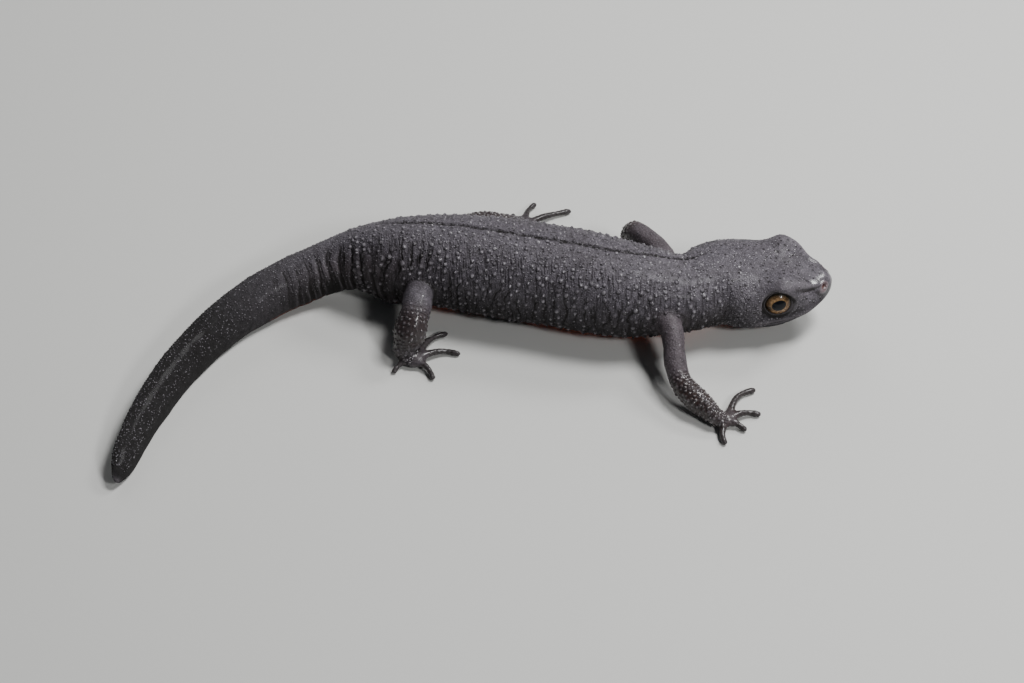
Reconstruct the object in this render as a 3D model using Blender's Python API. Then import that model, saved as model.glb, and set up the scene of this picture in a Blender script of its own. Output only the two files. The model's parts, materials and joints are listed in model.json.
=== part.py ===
"""Japanese fire-bellied newt, an adult at life size, caught in mid stride.

The body is one loft along a bent spine, parted into its named lengths. Each limb is a tapered
tube with a palm and toes, parted at its joints. The eyes are balls set in open sockets.

The head points to +X and the animal's left is +Y. The animal stands on the floor at z = 0.
All sizes are in millimetres and become metres as the meshes are made.
"""

import math

import bmesh
import bpy
import numpy as np
from mathutils import Vector

MM = 0.001
GAP = 0.3  # between neighbouring pieces
MIDDLE = (-3.97, 0.27)  # middle of the animal's footprint, which becomes the origin
NAME = "fire_bellied_newt"

# The line through the middle of the body: x, y and height above the floor.
SPINE = {
    "snout": (40.9, 4.75, 6.5),
    "muzzle": (38.3, 5.0, 5.55),
    "eyes": (34.6, 5.1, 5.3),
    "cheeks": (29.4, 5.1, 5.4),
    "parotoids": (26.0, 4.5, 5.8),
    "nape": (22.6, 2.9, 6.0),
    "shoulders": (17.0, 2.9, 6.2),
    "mid_back": (4.9, 5.8, 6.2),
    "loin": (-8.0, 8.3, 6.2),
    "hips": (-14.5, 9.0, 6.1),
    "tail_root": (-20.4, 9.9, 4.9),
    "tail_bend": (-27.4, 7.9, 3.4),
    "tail_side": (-34.8, 2.6, 2.75),
    "tail_sweep": (-40.2, -4.0, 2.2),
    "tail_blade": (-45.1, -14.1, 1.8),
    "tail_tip": (-48.2, -25.4, 1.15),
}

# Cross-sections: distance from the snout, half width, height above the spine, depth below it,
# squareness (2 is an ellipse) and the lean of the top towards the animal's left in degrees.
SECTIONS = {
    "snout": (0.0, 2.4, 2.2, 1.65, 2.0, 0),
    "nostrils": (1.4, 3.2, 2.3, 1.8, 2.5, 0),
    "muzzle": (3.6, 4.35, 2.8, 3.0, 2.5, 0),
    "eyes": (6.3, 5.1, 3.6, 4.05, 3.0, 0),
    "jaw_corner": (10.8, 6.0, 4.5, 4.6, 2.5, 0),
    "parotoids": (14.6, 5.5, 4.4, 4.3, 2.45, 0),
    "neck": (18.7, 4.8, 4.2, 4.5, 2.3, 0),
    "shoulders": (24.3, 5.9, 5.2, 5.4, 2.2, 1),
    "chest": (30.0, 6.5, 5.9, 5.8, 2.2, 2),
    "belly": (38.0, 6.5, 6.1, 5.9, 2.2, 3),
    "loin": (49.0, 6.1, 6.0, 5.7, 2.2, 8),
    "hips": (56.0, 5.1, 5.4, 5.2, 2.2, 12),
    "vent": (60.0, 4.2, 4.7, 4.5, 2.1, 16),
    "tail_root": (64.5, 3.1, 3.8, 3.6, 2.0, 22),
    "tail_base": (72.0, 2.6, 3.45, 3.25, 2.0, 30),
    "tail_middle": (85.0, 1.85, 2.9, 2.75, 1.9, 38),
    "tail_blade": (97.0, 1.3, 2.55, 2.35, 1.8, 44),
    "tail_taper": (104.0, 1.0, 2.2, 1.9, 1.8, 46),
    "tail_tip": (110.5, 0.8, 1.7, 1.2, 1.8, 48),
}
SNOUT_ROUND = 3.75  # length of the snout's rounded end
TAIL_ROUND = 4.5

# Low swellings of the skin: distance from the snout, direction round the body in degrees (0 is
# left, 90 is up), half length, half spread in degrees and height.
SWELLINGS = {
    "left_brow": (6.2, 49, 2.0, 22, 1.4),
    "right_brow": (6.2, 131, 2.0, 22, 1.4),
    "left_parotoid": (14.4, 30, 2.8, 26, 0.35),
    "right_parotoid": (14.4, 150, 2.8, 26, 0.35),
    "vent": (57.8, 262, 2.8, 42, 1.0),
}

# The pieces of the body: where each starts and ends, in distance from the snout.
LENGTHS = {
    "head": (0.0, 16.8),
    "neck": (16.8, 22.2),
    "trunk": (22.2, 51.5),
    "hips": (51.5, 62.5),
    "tail_base": (62.5, 78.0),
    "tail_middle": (78.0, 94.0),
    "tail_end": (94.0, None),
}
BODY_SIDES = 28
RING_SPACING = 1.9
TIP_RINGS = 5  # rings added towards a rounded end
TIP_CROWDING = 1.7  # how strongly they crowd there

EYE_DISTANCE = 7.3  # back from the snout
EYE_OFFSET = (3.6, 1.25)  # sideways and up from the spine
EYE_RADIUS = 2.15

# The mouth's line: distance from the snout and height above the floor.
MOUTH_LINE = ((-1.0, 4.9), (1.2, 4.7), (4.2, 3.9), (8.0, 3.4), (10.6, 3.1))
MOUTH_STEPS = 12
JAW_HEEL = 11.6  # how far back the lower jaw reaches under the throat
JAW_BLOCK_FLOOR = -1.0
JAW_BLOCK_HALF = 9.0

# Each limb runs from inside the body over the skin, the middle joint and the end joint. A toe is
# the place of its tip and how far it bends to its left on the way there.
LIMBS = {
    "right_arm": {
        "names": ("right_upper_arm", "right_forearm", "right_hand"),
        "path": ((18.6, 0.4, 6.3), (20.0, -3.6, 5.8), (21.1, -9.9, 2.9), (25.4, -14.7, 1.35)),
        "palm": (26.6, -14.4),
        "toes": ((30.7, -9.0, 1.0), (31.0, -13.3, 0.5), (29.0, -15.9, 0.1), (26.4, -18.2, -0.4)),
    },
    "left_arm": {
        "names": ("left_upper_arm", "left_forearm", "left_hand"),
        "path": ((20.0, 5.4, 6.6), (19.1, 9.0, 7.2), (15.9, 13.6, 6.6), (16.2, 15.9, 1.4)),
        "palm": (16.9, 16.5),
        "toes": ((20.5, 15.2, 0.3), (19.9, 17.3, 0.1), (18.0, 19.4, -0.3), (15.6, 20.2, -0.3)),
    },
    "right_leg": {
        "names": ("right_thigh", "right_shank", "right_foot"),
        "path": ((-11.0, 7.2, 5.6), (-11.7, 3.7, 6.1), (-12.4, -0.7, 5.2), (-13.7, -3.0, 1.7)),
        "palm": (-12.4, -3.8),
        "toes": (
            (-10.9, -0.1, 0.1), (-8.3, 1.1, 0.7), (-6.6, -2.7, 0.7), (-10.0, -7.1, 0.4), (-15.0, -5.9, -0.4),
        ),
    },
    "left_leg": {
        "names": ("left_thigh", "left_shank", "left_foot"),
        "path": ((-13.4, 11.4, 5.0), (-11.0, 14.0, 5.0), (-6.4, 16.6, 4.2), (-0.4, 20.2, 1.6)),
        "palm": (1.5, 21.2),
        "toes": (
            (5.6, 18.3, -0.3), (8.1, 20.2, -0.2), (7.9, 24.4, 0.2), (3.2, 25.8, 0.4), (0.1, 23.6, 0.2),
        ),
    },
}
ARM_GIRTH = (2.4, 1.56, 1.36, 1.08)  # radii at the path's points
LEG_GIRTH = (2.5, 1.9, 1.85, 1.45)
FULLNESS = (0.05, 0.25)  # how much fuller the upper and the lower length is midway
HAND_PALM = (1.4, 1.2, 0.75)  # half sizes: along, across and thickness
FOOT_PALM = (1.6, 1.5, 0.85)
FINGER_RADII = (0.56, 0.46)
TOE_RADII = (0.54, 0.44)
TOE_END = 0.55  # the last ring of a toe against its tip's radius
BEND_LATE = 1.5  # above 1, a toe bends most beyond its middle
KNUCKLE_LIFT = 0.45
SOLE_FLAT = 0.08  # how deep the floor cuts the round sole of a palm
TOE_FLAT = 0.06
LIMB_RINGS_PER_MM = 1.0
TOE_RINGS = 6
END_STEP = 0.1  # a ring this close to each end squares the end to the limb's path
FLOOR_BLOCK = 60.0  # half the size of the block that keeps everything above the floor

COLOURS = {
    "skin": (0.085, 0.078, 0.083),
    "tail_skin": (0.040, 0.037, 0.038),
    "throat": (0.060, 0.052, 0.054),
    "foot_skin": (0.050, 0.043, 0.045),
    "eye": (0.16, 0.085, 0.04),
}
ROUGHNESS = {"skin": 0.55, "tail_skin": 0.4, "throat": 0.5, "foot_skin": 0.3, "eye": 0.08}


def through(knots, values, at):
    """A smooth curve through values at knots: cubic pieces whose slopes are averaged there."""
    knots = np.asarray(knots, float)
    values = np.asarray(values, float)
    slopes = np.gradient(values, knots, axis=0)
    at = np.clip(np.asarray(at, float), knots[0], knots[-1])
    piece = np.clip(np.searchsorted(knots, at, side="right") - 1, 0, len(knots) - 2)
    span = knots[piece + 1] - knots[piece]
    t = (at - knots[piece]) / span
    if values.ndim == 2:
        t = t[:, None]
        span = span[:, None]
    start = (1 + 2 * t) * (1 - t) ** 2 * values[piece] + t * (1 - t) ** 2 * span * slopes[piece]
    end = t * t * (3 - 2 * t) * values[piece + 1] - t * t * (1 - t) * span * slopes[piece + 1]
    return start + end


def run_lengths(points):
    """Distances along a line of points, from its first point to each of them."""
    steps = np.linalg.norm(np.diff(np.asarray(points, float), axis=0), axis=1)
    return np.concatenate([[0.0], np.cumsum(steps)])


SPINE_POINTS = np.array(list(SPINE.values())) - np.array([MIDDLE[0], MIDDLE[1], 0.0])
SPINE_KNOTS = run_lengths(SPINE_POINTS)
BODY_LENGTH = SPINE_KNOTS[-1]
SECTION_TABLE = np.array(list(SECTIONS.values()), float)


def spine_frame(distance):
    """The spine's point and its directions to the left and up, at distances from the snout."""
    step = 0.05
    point = through(SPINE_KNOTS, SPINE_POINTS, distance)
    ahead = through(SPINE_KNOTS, SPINE_POINTS, np.clip(distance - step, 0, None))
    behind = through(SPINE_KNOTS, SPINE_POINTS, np.clip(distance + step, None, BODY_LENGTH))
    forward = ahead - behind
    forward /= np.linalg.norm(forward, axis=1, keepdims=True)
    left = np.cross([0.0, 0.0, 1.0], forward)
    left /= np.linalg.norm(left, axis=1, keepdims=True)
    up = np.cross(forward, left)
    lean = np.radians(through(SECTION_TABLE[:, 0], SECTION_TABLE[:, 5], distance))[:, None]
    return point, left * np.cos(lean) - up * np.sin(lean), up * np.cos(lean) + left * np.sin(lean)


def end_rounding(distance):
    """1 along the body, falling to 0 at the snout and the tail's tip as an ellipse does."""
    from_snout = 1 - np.clip(distance / SNOUT_ROUND, 0, 1)
    from_tip = 1 - np.clip((BODY_LENGTH - distance) / TAIL_ROUND, 0, 1)
    return np.sqrt(np.clip((1 - from_snout**2) * (1 - from_tip**2), 0, 1))


def skin(distance, turn, grow=0.0):
    """Points on the skin for every distance from the snout and every direction round the body.

    Each cross-section is a superellipse, with its own height above and depth below the spine,
    pushed out by the swellings, which fall off as a bell curve both ways.
    """
    distance = np.asarray(distance, float)
    point, left, up = spine_frame(distance)
    row = through(SECTION_TABLE[:, 0], SECTION_TABLE[:, 1:5], distance)
    width, height, depth, square = row.T[:, :, None]
    across = np.cos(turn)[None, :]
    rise = np.sin(turn)[None, :]
    reach = (np.abs(across) ** square + np.abs(rise) ** square) ** (-1 / square)
    out = np.ones_like(reach) * grow
    for place, degrees, length, spread, size in SWELLINGS.values():
        off = (np.degrees(turn) - degrees + 180) % 360 - 180
        along = (distance - place) / length
        out = out + size * np.exp(-(along**2))[:, None] * np.exp(-((off / spread) ** 2))[None, :]
    rounding = end_rounding(distance)[:, None]
    sideways = (width * rounding + out) * across * reach
    upwards = (np.where(rise > 0, height, depth) * rounding + out) * rise * reach
    return point[:, None] + left[:, None] * sideways[..., None] + up[:, None] * upwards[..., None]


def ring_places(start, end):
    """Distances of the rings from start to end, closer together towards a rounded end."""
    count = max(3, math.ceil((end - start) / RING_SPACING) + 1)
    if start <= 0:
        return start + (end - start) * np.linspace(0, 1, count + TIP_RINGS) ** TIP_CROWDING
    if end >= BODY_LENGTH:
        return end - (end - start) * np.linspace(1, 0, count + TIP_RINGS) ** TIP_CROWDING
    return np.linspace(start, end, count)


def collection(name):
    """The collection of that name, made the first time it is asked for."""
    found = bpy.data.collections.get(name)
    if found is None:
        found = bpy.data.collections.new(name)
        bpy.context.scene.collection.children.link(found)
    return found


def material(kind):
    """One Principled material for each kind of surface."""
    found = bpy.data.materials.get(kind)
    if found is None:
        found = bpy.data.materials.new(kind)
        found.use_nodes = True
        shader = found.node_tree.nodes["Principled BSDF"]
        shader.inputs["Base Color"].default_value = (*COLOURS[kind], 1.0)
        shader.inputs["Roughness"].default_value = ROUGHNESS[kind]
        shader.inputs["Metallic"].default_value = 0.0
    return found


def finish(piece, kind=None):
    """Puts a piece in the model with its material, or among the hidden cutters."""
    if kind is None:
        collection("cutters").objects.link(piece)
        piece.hide_render = True
        piece.display_type = "WIRE"
    else:
        collection(NAME).objects.link(piece)
        piece.data.materials.append(material(kind))
        piece.data.shade_smooth()
    return piece


def clean(mesh):
    """Welds a mesh's doubles and turns its faces outwards."""
    work = bmesh.new()
    work.from_mesh(mesh)
    bmesh.ops.remove_doubles(work, verts=work.verts, dist=0.005 * MM)
    bmesh.ops.recalc_face_normals(work, faces=work.faces)
    work.to_mesh(mesh)
    work.free()


def loft(name, start, end, kind=None, grow=0.0):
    """A length of the body as a closed loft, with a flat face at each end that isn't a tip."""
    places = ring_places(start, end)
    turns = np.arange(BODY_SIDES) * 2 * math.pi / BODY_SIDES
    grid = skin(places, turns, grow) * MM
    rings, sides = grid.shape[:2]
    index = np.arange(rings * sides).reshape(rings, sides)
    turned = np.roll(index, -1, axis=1)
    quads = np.stack([index[:-1], turned[:-1], turned[1:], index[1:]], axis=-1).reshape(-1, 4)
    mesh = bpy.data.meshes.new(name)
    mesh.from_pydata(grid.reshape(-1, 3), [], quads.tolist() + [index[0].tolist(), index[-1].tolist()])
    clean(mesh)
    return finish(bpy.data.objects.new(name, mesh), kind)


def from_curve(name, drawn, kind=None):
    """Turns a curve object into a closed mesh object in its place."""
    bpy.context.scene.collection.objects.link(drawn)
    bpy.context.view_layer.update()
    ready = drawn.evaluated_get(bpy.context.evaluated_depsgraph_get())
    mesh = bpy.data.meshes.new_from_object(ready)
    mesh.name = name
    piece = bpy.data.objects.new(name, mesh)
    piece.matrix_world = drawn.matrix_world
    curve = drawn.data
    bpy.data.objects.remove(drawn)
    bpy.data.curves.remove(curve)
    clean(mesh)
    return finish(piece, kind)


def tube(name, points, radii, kind=None, roundness=3):
    """A tapered tube along points, made as a bevelled curve and turned into a closed mesh."""
    curve = bpy.data.curves.new(name, "CURVE")
    curve.dimensions = "3D"
    curve.bevel_depth = MM
    curve.bevel_resolution = roundness
    curve.use_fill_caps = True
    spline = curve.splines.new("POLY")
    spline.points.add(len(points) - 1)
    for knot, point, radius in zip(spline.points, points, radii):
        knot.co = (*(np.asarray(point) * MM), 1.0)
        knot.radius = radius
    return from_curve(name, bpy.data.objects.new(name + "_line", curve), kind)


def ball(name, centre, half_sizes, kind=None, heading=0.0, sides=14, rings=8):
    """An ellipsoid with its longest side turned to a heading in radians."""
    mesh = bpy.data.meshes.new(name)
    work = bmesh.new()
    bmesh.ops.create_uvsphere(work, u_segments=sides, v_segments=rings, radius=1.0)
    bmesh.ops.scale(work, verts=work.verts, vec=Vector(half_sizes) * MM)
    work.to_mesh(mesh)
    work.free()
    piece = finish(bpy.data.objects.new(name, mesh), kind)
    piece.location = Vector(centre) * MM
    piece.rotation_euler = (0.0, 0.0, heading)
    return piece


def combine(piece, other, operation):
    """Cuts a piece with another one, joins them or keeps what they share."""
    step = piece.modifiers.new(operation.lower() + "_" + other.name, "BOOLEAN")
    step.object = other
    step.operation = operation
    step.solver = "EXACT"


def jaw_block(name, grow):
    """All below the mouth's line and ahead of the jaw's heel: a flat outline, made thick."""
    point, _, _ = spine_frame(np.array([0.0, EYE_DISTANCE]))
    heading = math.atan2(point[0, 1] - point[1, 1], point[0, 0] - point[1, 0])
    line = np.array(MOUTH_LINE)
    back = np.linspace(line[0, 0], line[-1, 0], MOUTH_STEPS)
    heights = through(line[:, 0], line[:, 1], back) + grow
    back[-1] += grow
    outline = list(zip(-back, heights))
    outline.append((-JAW_HEEL - grow, JAW_BLOCK_FLOOR))
    outline.append((-back[0], JAW_BLOCK_FLOOR))
    curve = bpy.data.curves.new(name, "CURVE")
    curve.dimensions = "2D"
    curve.fill_mode = "BOTH"
    curve.extrude = JAW_BLOCK_HALF * MM
    spline = curve.splines.new("POLY")
    spline.points.add(len(outline) - 1)
    spline.use_cyclic_u = True
    for knot, (forward, height) in zip(spline.points, outline):
        knot.co = (forward * MM, height * MM, 0.0, 1.0)
    drawn = bpy.data.objects.new(name + "_line", curve)
    drawn.location = Vector((point[0, 0], point[0, 1], 0.0)) * MM
    drawn.rotation_euler = (math.pi / 2, 0.0, heading)
    return from_curve(name, drawn)


def eye_centre(side):
    """The middle of an eyeball, with side 1 for the left eye and -1 for the right."""
    point, left, up = spine_frame(np.array([EYE_DISTANCE]))
    return point[0] + left[0] * EYE_OFFSET[0] * side + up[0] * EYE_OFFSET[1]


def floor_block():
    """The block below the floor, which cuts the small flats that the animal stands on."""
    mesh = bpy.data.meshes.new("floor_block")
    work = bmesh.new()
    bmesh.ops.create_cube(work, size=FLOOR_BLOCK * 2 * MM)
    bmesh.ops.translate(work, verts=work.verts, vec=(0, 0, -FLOOR_BLOCK * MM))
    work.to_mesh(mesh)
    work.free()
    return finish(bpy.data.objects.new("floor_block", mesh))


def build_body(block):
    """Head, jaw, neck, trunk, hips and tail, parted by thin gaps, and the eyes."""
    made = {}
    for name, (start, end) in LENGTHS.items():
        first = start + GAP / 2 if start > 0 else 0.0
        last = BODY_LENGTH if end is None else end - GAP / 2
        kind = "tail_skin" if name.startswith("tail") else "skin"
        made[name] = loft(name, first, last, kind)
        if name.startswith("tail"):
            combine(made[name], block, "DIFFERENCE")
    combine(made["head"], jaw_block("mouth_cut", GAP), "DIFFERENCE")
    jaw = loft("lower_jaw", 0.0, LENGTHS["head"][1] - GAP, "throat")
    combine(jaw, jaw_block("jaw_keep", 0.0), "INTERSECT")
    for side, word in ((1, "left"), (-1, "right")):
        centre = eye_centre(side)
        socket = ball(word + "_socket", centre, [EYE_RADIUS + GAP] * 3)
        combine(made["head"], socket, "DIFFERENCE")
        ball(word + "_eye", centre, [EYE_RADIUS] * 3, "eye")


def build_limb(limb, body_cut, block, girth, palm_size, toe_radii):
    """One limb: upper and lower lengths, and a hand or foot with its toes."""
    shift = np.array([MIDDLE[0], MIDDLE[1], 0.0])
    path = np.array(limb["path"]) - shift
    knots = run_lengths(path)
    upper, lower, foot = limb["names"]

    def length(name, start, end, kind=None, grow=0.0):
        """The limb between two distances along its path."""
        count = max(3, round((end - start) * LIMB_RINGS_PER_MM) + 1)
        places = np.linspace(start, end, count)
        places = np.insert(places, [1, count - 1], [start + END_STEP, end - END_STEP])
        between = np.sin(math.pi * np.interp(places, knots, np.arange(len(knots))))
        share = np.where(places < knots[2], *FULLNESS) * (places > knots[1])
        fuller = 1 + share * between**2
        radii = through(knots, girth, places) * fuller + grow
        return tube(name, through(knots, path, places), radii, kind)

    upper_piece = length(upper, 0.0, knots[2] - GAP / 2, "skin")
    combine(upper_piece, body_cut, "DIFFERENCE")
    length(lower, knots[2] + GAP / 2, knots[3] - GAP / 2, "foot_skin")

    palm = np.array([*limb["palm"], palm_size[2] - SOLE_FLAT]) - shift
    heading = math.atan2(palm[1] - path[3, 1], palm[0] - path[3, 0])
    wrist = path[3] + (path[3] - path[2]) / np.linalg.norm(path[3] - path[2]) * GAP / 2
    stub = np.linspace(wrist, palm, 4)
    ankle = tube(foot, stub, np.linspace(girth[3], palm_size[2] * 0.8, 4), "foot_skin")
    combine(ankle, ball(foot + "_palm", palm, palm_size, heading=heading, sides=16, rings=8), "UNION")
    combine(ankle, length(lower + "_cut", knots[2], knots[3], grow=GAP), "DIFFERENCE")
    for number, (x, y, bend) in enumerate(limb["toes"], 1):
        step = np.array([x, y, toe_radii[1] - TOE_FLAT]) - shift - palm
        places = np.linspace(0, 1, TOE_RINGS)
        leftwards = np.array([-step[1], step[0], 0.0]) / math.hypot(step[0], step[1])
        line = palm + step * places[:, None]
        line += leftwards * (bend * np.sin(math.pi * places**BEND_LATE))[:, None]
        line[:, 2] += KNUCKLE_LIFT * np.sin(math.pi * places) * (1 - places)
        radii = toe_radii[0] + (toe_radii[1] - toe_radii[0]) * places
        radii[-1] *= TOE_END
        toe = tube(f"{foot}_toe_{number}", line, radii, roundness=2)
        combine(ankle, toe, "UNION")
    combine(ankle, block, "DIFFERENCE")


def main():
    for old in list(bpy.data.objects):
        bpy.data.objects.remove(old)
    block = floor_block()
    build_body(block)
    body_cut = loft("body_cut", LENGTHS["neck"][0], LENGTHS["tail_base"][1], grow=GAP)
    for name, limb in LIMBS.items():
        if name.endswith("arm"):
            build_limb(limb, body_cut, block, ARM_GIRTH, HAND_PALM, FINGER_RADII)
        else:
            build_limb(limb, body_cut, block, LEG_GIRTH, FOOT_PALM, TOE_RADII)


main()
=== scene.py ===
# %% [markdown]
# # A fire-bellied newt in mid stride
# This lesson dresses a finished set of solids as a still, life-size newt. The solids are loaded
# first and stay where they are. Everything made here is one skin over them, the small hard
# granules of that skin, and two eyes. Lengths are worked out in millimetres, because that is how
# a newt is measured, and become metres only as each mesh is made.

import functools
import json
import math

import bpy
import numpy as np
from mathutils import Matrix, Vector
from mathutils.bvhtree import BVHTree

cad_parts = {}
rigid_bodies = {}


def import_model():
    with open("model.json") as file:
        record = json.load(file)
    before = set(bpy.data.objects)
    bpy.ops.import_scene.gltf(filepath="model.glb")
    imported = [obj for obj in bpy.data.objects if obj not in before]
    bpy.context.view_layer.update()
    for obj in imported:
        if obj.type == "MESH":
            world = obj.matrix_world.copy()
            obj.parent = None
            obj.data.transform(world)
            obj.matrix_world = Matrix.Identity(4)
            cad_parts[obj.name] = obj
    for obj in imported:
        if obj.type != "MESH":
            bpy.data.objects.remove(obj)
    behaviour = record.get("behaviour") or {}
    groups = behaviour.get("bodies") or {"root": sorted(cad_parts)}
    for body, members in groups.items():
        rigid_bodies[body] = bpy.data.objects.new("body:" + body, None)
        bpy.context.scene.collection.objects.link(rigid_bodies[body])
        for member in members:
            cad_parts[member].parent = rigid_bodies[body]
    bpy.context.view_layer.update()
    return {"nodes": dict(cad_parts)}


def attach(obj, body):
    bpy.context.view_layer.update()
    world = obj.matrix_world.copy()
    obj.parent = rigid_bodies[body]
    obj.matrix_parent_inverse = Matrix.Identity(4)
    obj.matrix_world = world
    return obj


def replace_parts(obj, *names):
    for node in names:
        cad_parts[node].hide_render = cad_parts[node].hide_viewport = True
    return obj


for old in list(bpy.data.objects):
    bpy.data.objects.remove(old)
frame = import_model()
MM = 0.001


def placed(name, data):
    """An object of this name in the scene, unturned and unscaled at the origin."""
    thing = bpy.data.objects.new(name, data)
    bpy.context.scene.collection.objects.link(thing)
    return thing


# %% [markdown]
# ## The camera
# The animal is seen from its right side and from halfway between level and straight above, with a
# long lens, so that near and far parts keep nearly the same scale. A camera looks along its own
# -Z, so a direction turned into a rotation by `to_track_quat` aims it.

# %% Camera
MIDDLE = (-3.97, 0.27)  # the middle of the footprint, which is the frame's origin
CAMERA_ELEVATION = 45.0
CAMERA_DISTANCE = 365.0
aim = Vector((-MIDDLE[0], -MIDDLE[1], 0.0)) * MM
slope = math.radians(CAMERA_ELEVATION)
away = Vector((0.0, -math.cos(slope), math.sin(slope)))
camera_data = bpy.data.cameras.new("camera")
camera_data.lens = 100.0
camera_data.sensor_width = 36.0
camera_data.clip_start = 0.01
camera = placed("camera", camera_data)
camera.location = aim + away * CAMERA_DISTANCE * MM
camera.rotation_euler = (-away).to_track_quat("-Z", "Y").to_euler()
bpy.context.scene.camera = camera
print("camera at", [round(x, 3) for x in camera.location])

# %% [markdown]
# ## The floor and the light
# A plain pale floor and large lamps show dark skin best: each granule then carries a small soft
# reflection. The main lamp hangs above the head. The snout lamp stands beyond the head, where the
# wet skin over the nostril mirrors it towards the camera. The front lamp lights the near side,
# and a wide, weak one behind draws the outline of the back.

# %% Floor and lamps
FLOOR_REACH = 700.0
FLOOR_COLOUR = (0.62, 0.62, 0.60, 1.0)
ROOM_COLOUR, ROOM_LIGHT = (0.80, 0.85, 0.92, 1.0), 0.045
LAMPS = {  # place in mm, size in mm, power in watts
    "main_lamp": ((150, 60, 310), 100, 1.12),
    "snout_lamp": ((207, 181, 232), 75, 0.42),
    "front_lamp": ((190, -210, 240), 58, 0.50),
    "back_lamp": ((-160, 300, 200), 200, 0.28),
}
edge = FLOOR_REACH * MM
corners = [(-edge, -edge, 0), (edge, -edge, 0), (edge, edge, 0), (-edge, edge, 0)]
floor_mesh = bpy.data.meshes.new("floor")
floor_mesh.from_pydata(corners, [], [(0, 1, 2, 3)])
pale = bpy.data.materials.new("pale_floor")
pale.use_nodes = True
pale.node_tree.nodes["Principled BSDF"].inputs["Base Color"].default_value = FLOOR_COLOUR
pale.node_tree.nodes["Principled BSDF"].inputs["Roughness"].default_value = 0.8
floor_mesh.materials.append(pale)
floor = placed("floor", floor_mesh)

for name, (place, size, power) in LAMPS.items():
    lamp_data = bpy.data.lights.new(name, "AREA")
    lamp_data.size = size * MM
    lamp_data.energy = power
    lamp = placed(name, lamp_data)
    lamp.location = Vector(place) * MM
    lamp.rotation_euler = (-lamp.location).to_track_quat("-Z", "Y").to_euler()

world = bpy.data.worlds.new("room")
world.use_nodes = True
world.node_tree.nodes["Background"].inputs["Color"].default_value = ROOM_COLOUR
world.node_tree.nodes["Background"].inputs["Strength"].default_value = ROOM_LIGHT
bpy.context.scene.world = world
print("lamps:", list(LAMPS))

# %% [markdown]
# ## A smooth curve through a few values
# Anatomy is written down as short tables: a width here, a height there. Between the rows of a
# table the value has to change smoothly. Cubic pieces do that, if neighbouring pieces agree on
# the slope where they meet, which is the average slope of the table there. Three shapes of one
# number, a ramp, a window and a bell, then say where on the body something happens.

# %% Curves through tables
def through(knots, values, at):
    """A smooth curve through values at knots: cubic pieces whose slopes are averaged there."""
    knots = np.asarray(knots, float)
    values = np.asarray(values, float)
    slopes = np.gradient(values, knots, axis=0)
    at = np.clip(np.asarray(at, float), knots[0], knots[-1])
    piece = np.clip(np.searchsorted(knots, at, side="right") - 1, 0, len(knots) - 2)
    span = knots[piece + 1] - knots[piece]
    t = (at - knots[piece]) / span
    if values.ndim == 2:
        t = t[:, None]
        span = span[:, None]
    start = (1 + 2 * t) * (1 - t) ** 2 * values[piece] + t * (1 - t) ** 2 * span * slopes[piece]
    end = t * t * (3 - 2 * t) * values[piece + 1] - t * t * (1 - t) * span * slopes[piece + 1]
    return start + end


def run_lengths(points):
    """Distances along a line of points: the running sum of its steps, starting at nought."""
    steps = np.linalg.norm(np.diff(np.asarray(points, float), axis=0), axis=1)
    return np.concatenate([[0.0], np.cumsum(steps)])


def unit(vectors):
    """The same directions with length one: each vector over its own length."""
    return vectors / np.maximum(np.linalg.norm(vectors, axis=-1, keepdims=True), 1e-9)


def ramp(values, low, high):
    """0 below low, 1 above high and 3t^2 - 2t^3 between, so that it starts and ends gently."""
    t = np.clip((values - low) / (high - low), 0, 1)
    return t * t * (3 - 2 * t)


def window(values, start, full, fading, end):
    """0 outside start and end and 1 from full to fading: a ramp up times a ramp down."""
    return ramp(values, start, full) * (1 - ramp(values, fading, end))


def bell(values, width):
    """1 in the middle and falling away evenly on both sides, as exp(-(x / width)^2)."""
    return np.exp(-((values / width) ** 2))


def ring_angles(count):
    """The angles of a count of equal steps round a circle, starting at nought."""
    return np.arange(count) * 2 * math.pi / count


# %% [markdown]
# ## The line of the body
# A newt walks with its body in a slow S. One line through the middle of the head, trunk and tail
# carries that bend, and every cross-section is hung on it. The heights let the snout lift, the
# belly hang just clear of the floor and the tail lie down.

# %% Spine
SPINE = {  # x, y and height above the floor
    "snout": (40.9, 4.75, 6.5),
    "muzzle": (38.3, 5.0, 5.55),
    "eyes": (34.6, 5.1, 5.3),
    "cheeks": (29.4, 5.1, 5.4),
    "parotoids": (26.0, 4.5, 5.8),
    "nape": (22.6, 2.9, 6.0),
    "shoulders": (17.0, 2.9, 6.2),
    "mid_back": (4.9, 5.8, 6.2),
    "loin": (-8.0, 8.3, 6.2),
    "hips": (-14.5, 9.0, 6.1),
    "tail_root": (-20.4, 9.9, 4.9),
    "tail_bend": (-27.4, 7.9, 3.4),
    "tail_side": (-34.8, 2.6, 2.75),
    "tail_sweep": (-40.2, -4.0, 2.2),
    "tail_blade": (-45.1, -14.1, 1.8),
    "tail_tip": (-48.2, -25.4, 1.15),
}
MIDDLE_SHIFT = np.array([*MIDDLE, 0.0])
SPINE_POINTS = np.array(list(SPINE.values())) - MIDDLE_SHIFT
SPINE_KNOTS = run_lengths(SPINE_POINTS)
BODY_LENGTH = SPINE_KNOTS[-1]
print("length along the bend, mm:", round(BODY_LENGTH, 1))

# %% [markdown]
# ## Cross-sections
# Across its length the animal changes from a broad, flat head to a round trunk and a blade of a
# tail that leans over where it lies. A superellipse covers all of these: its width, its height
# above and depth below the line, and one number for how square its shoulders are.

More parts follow.
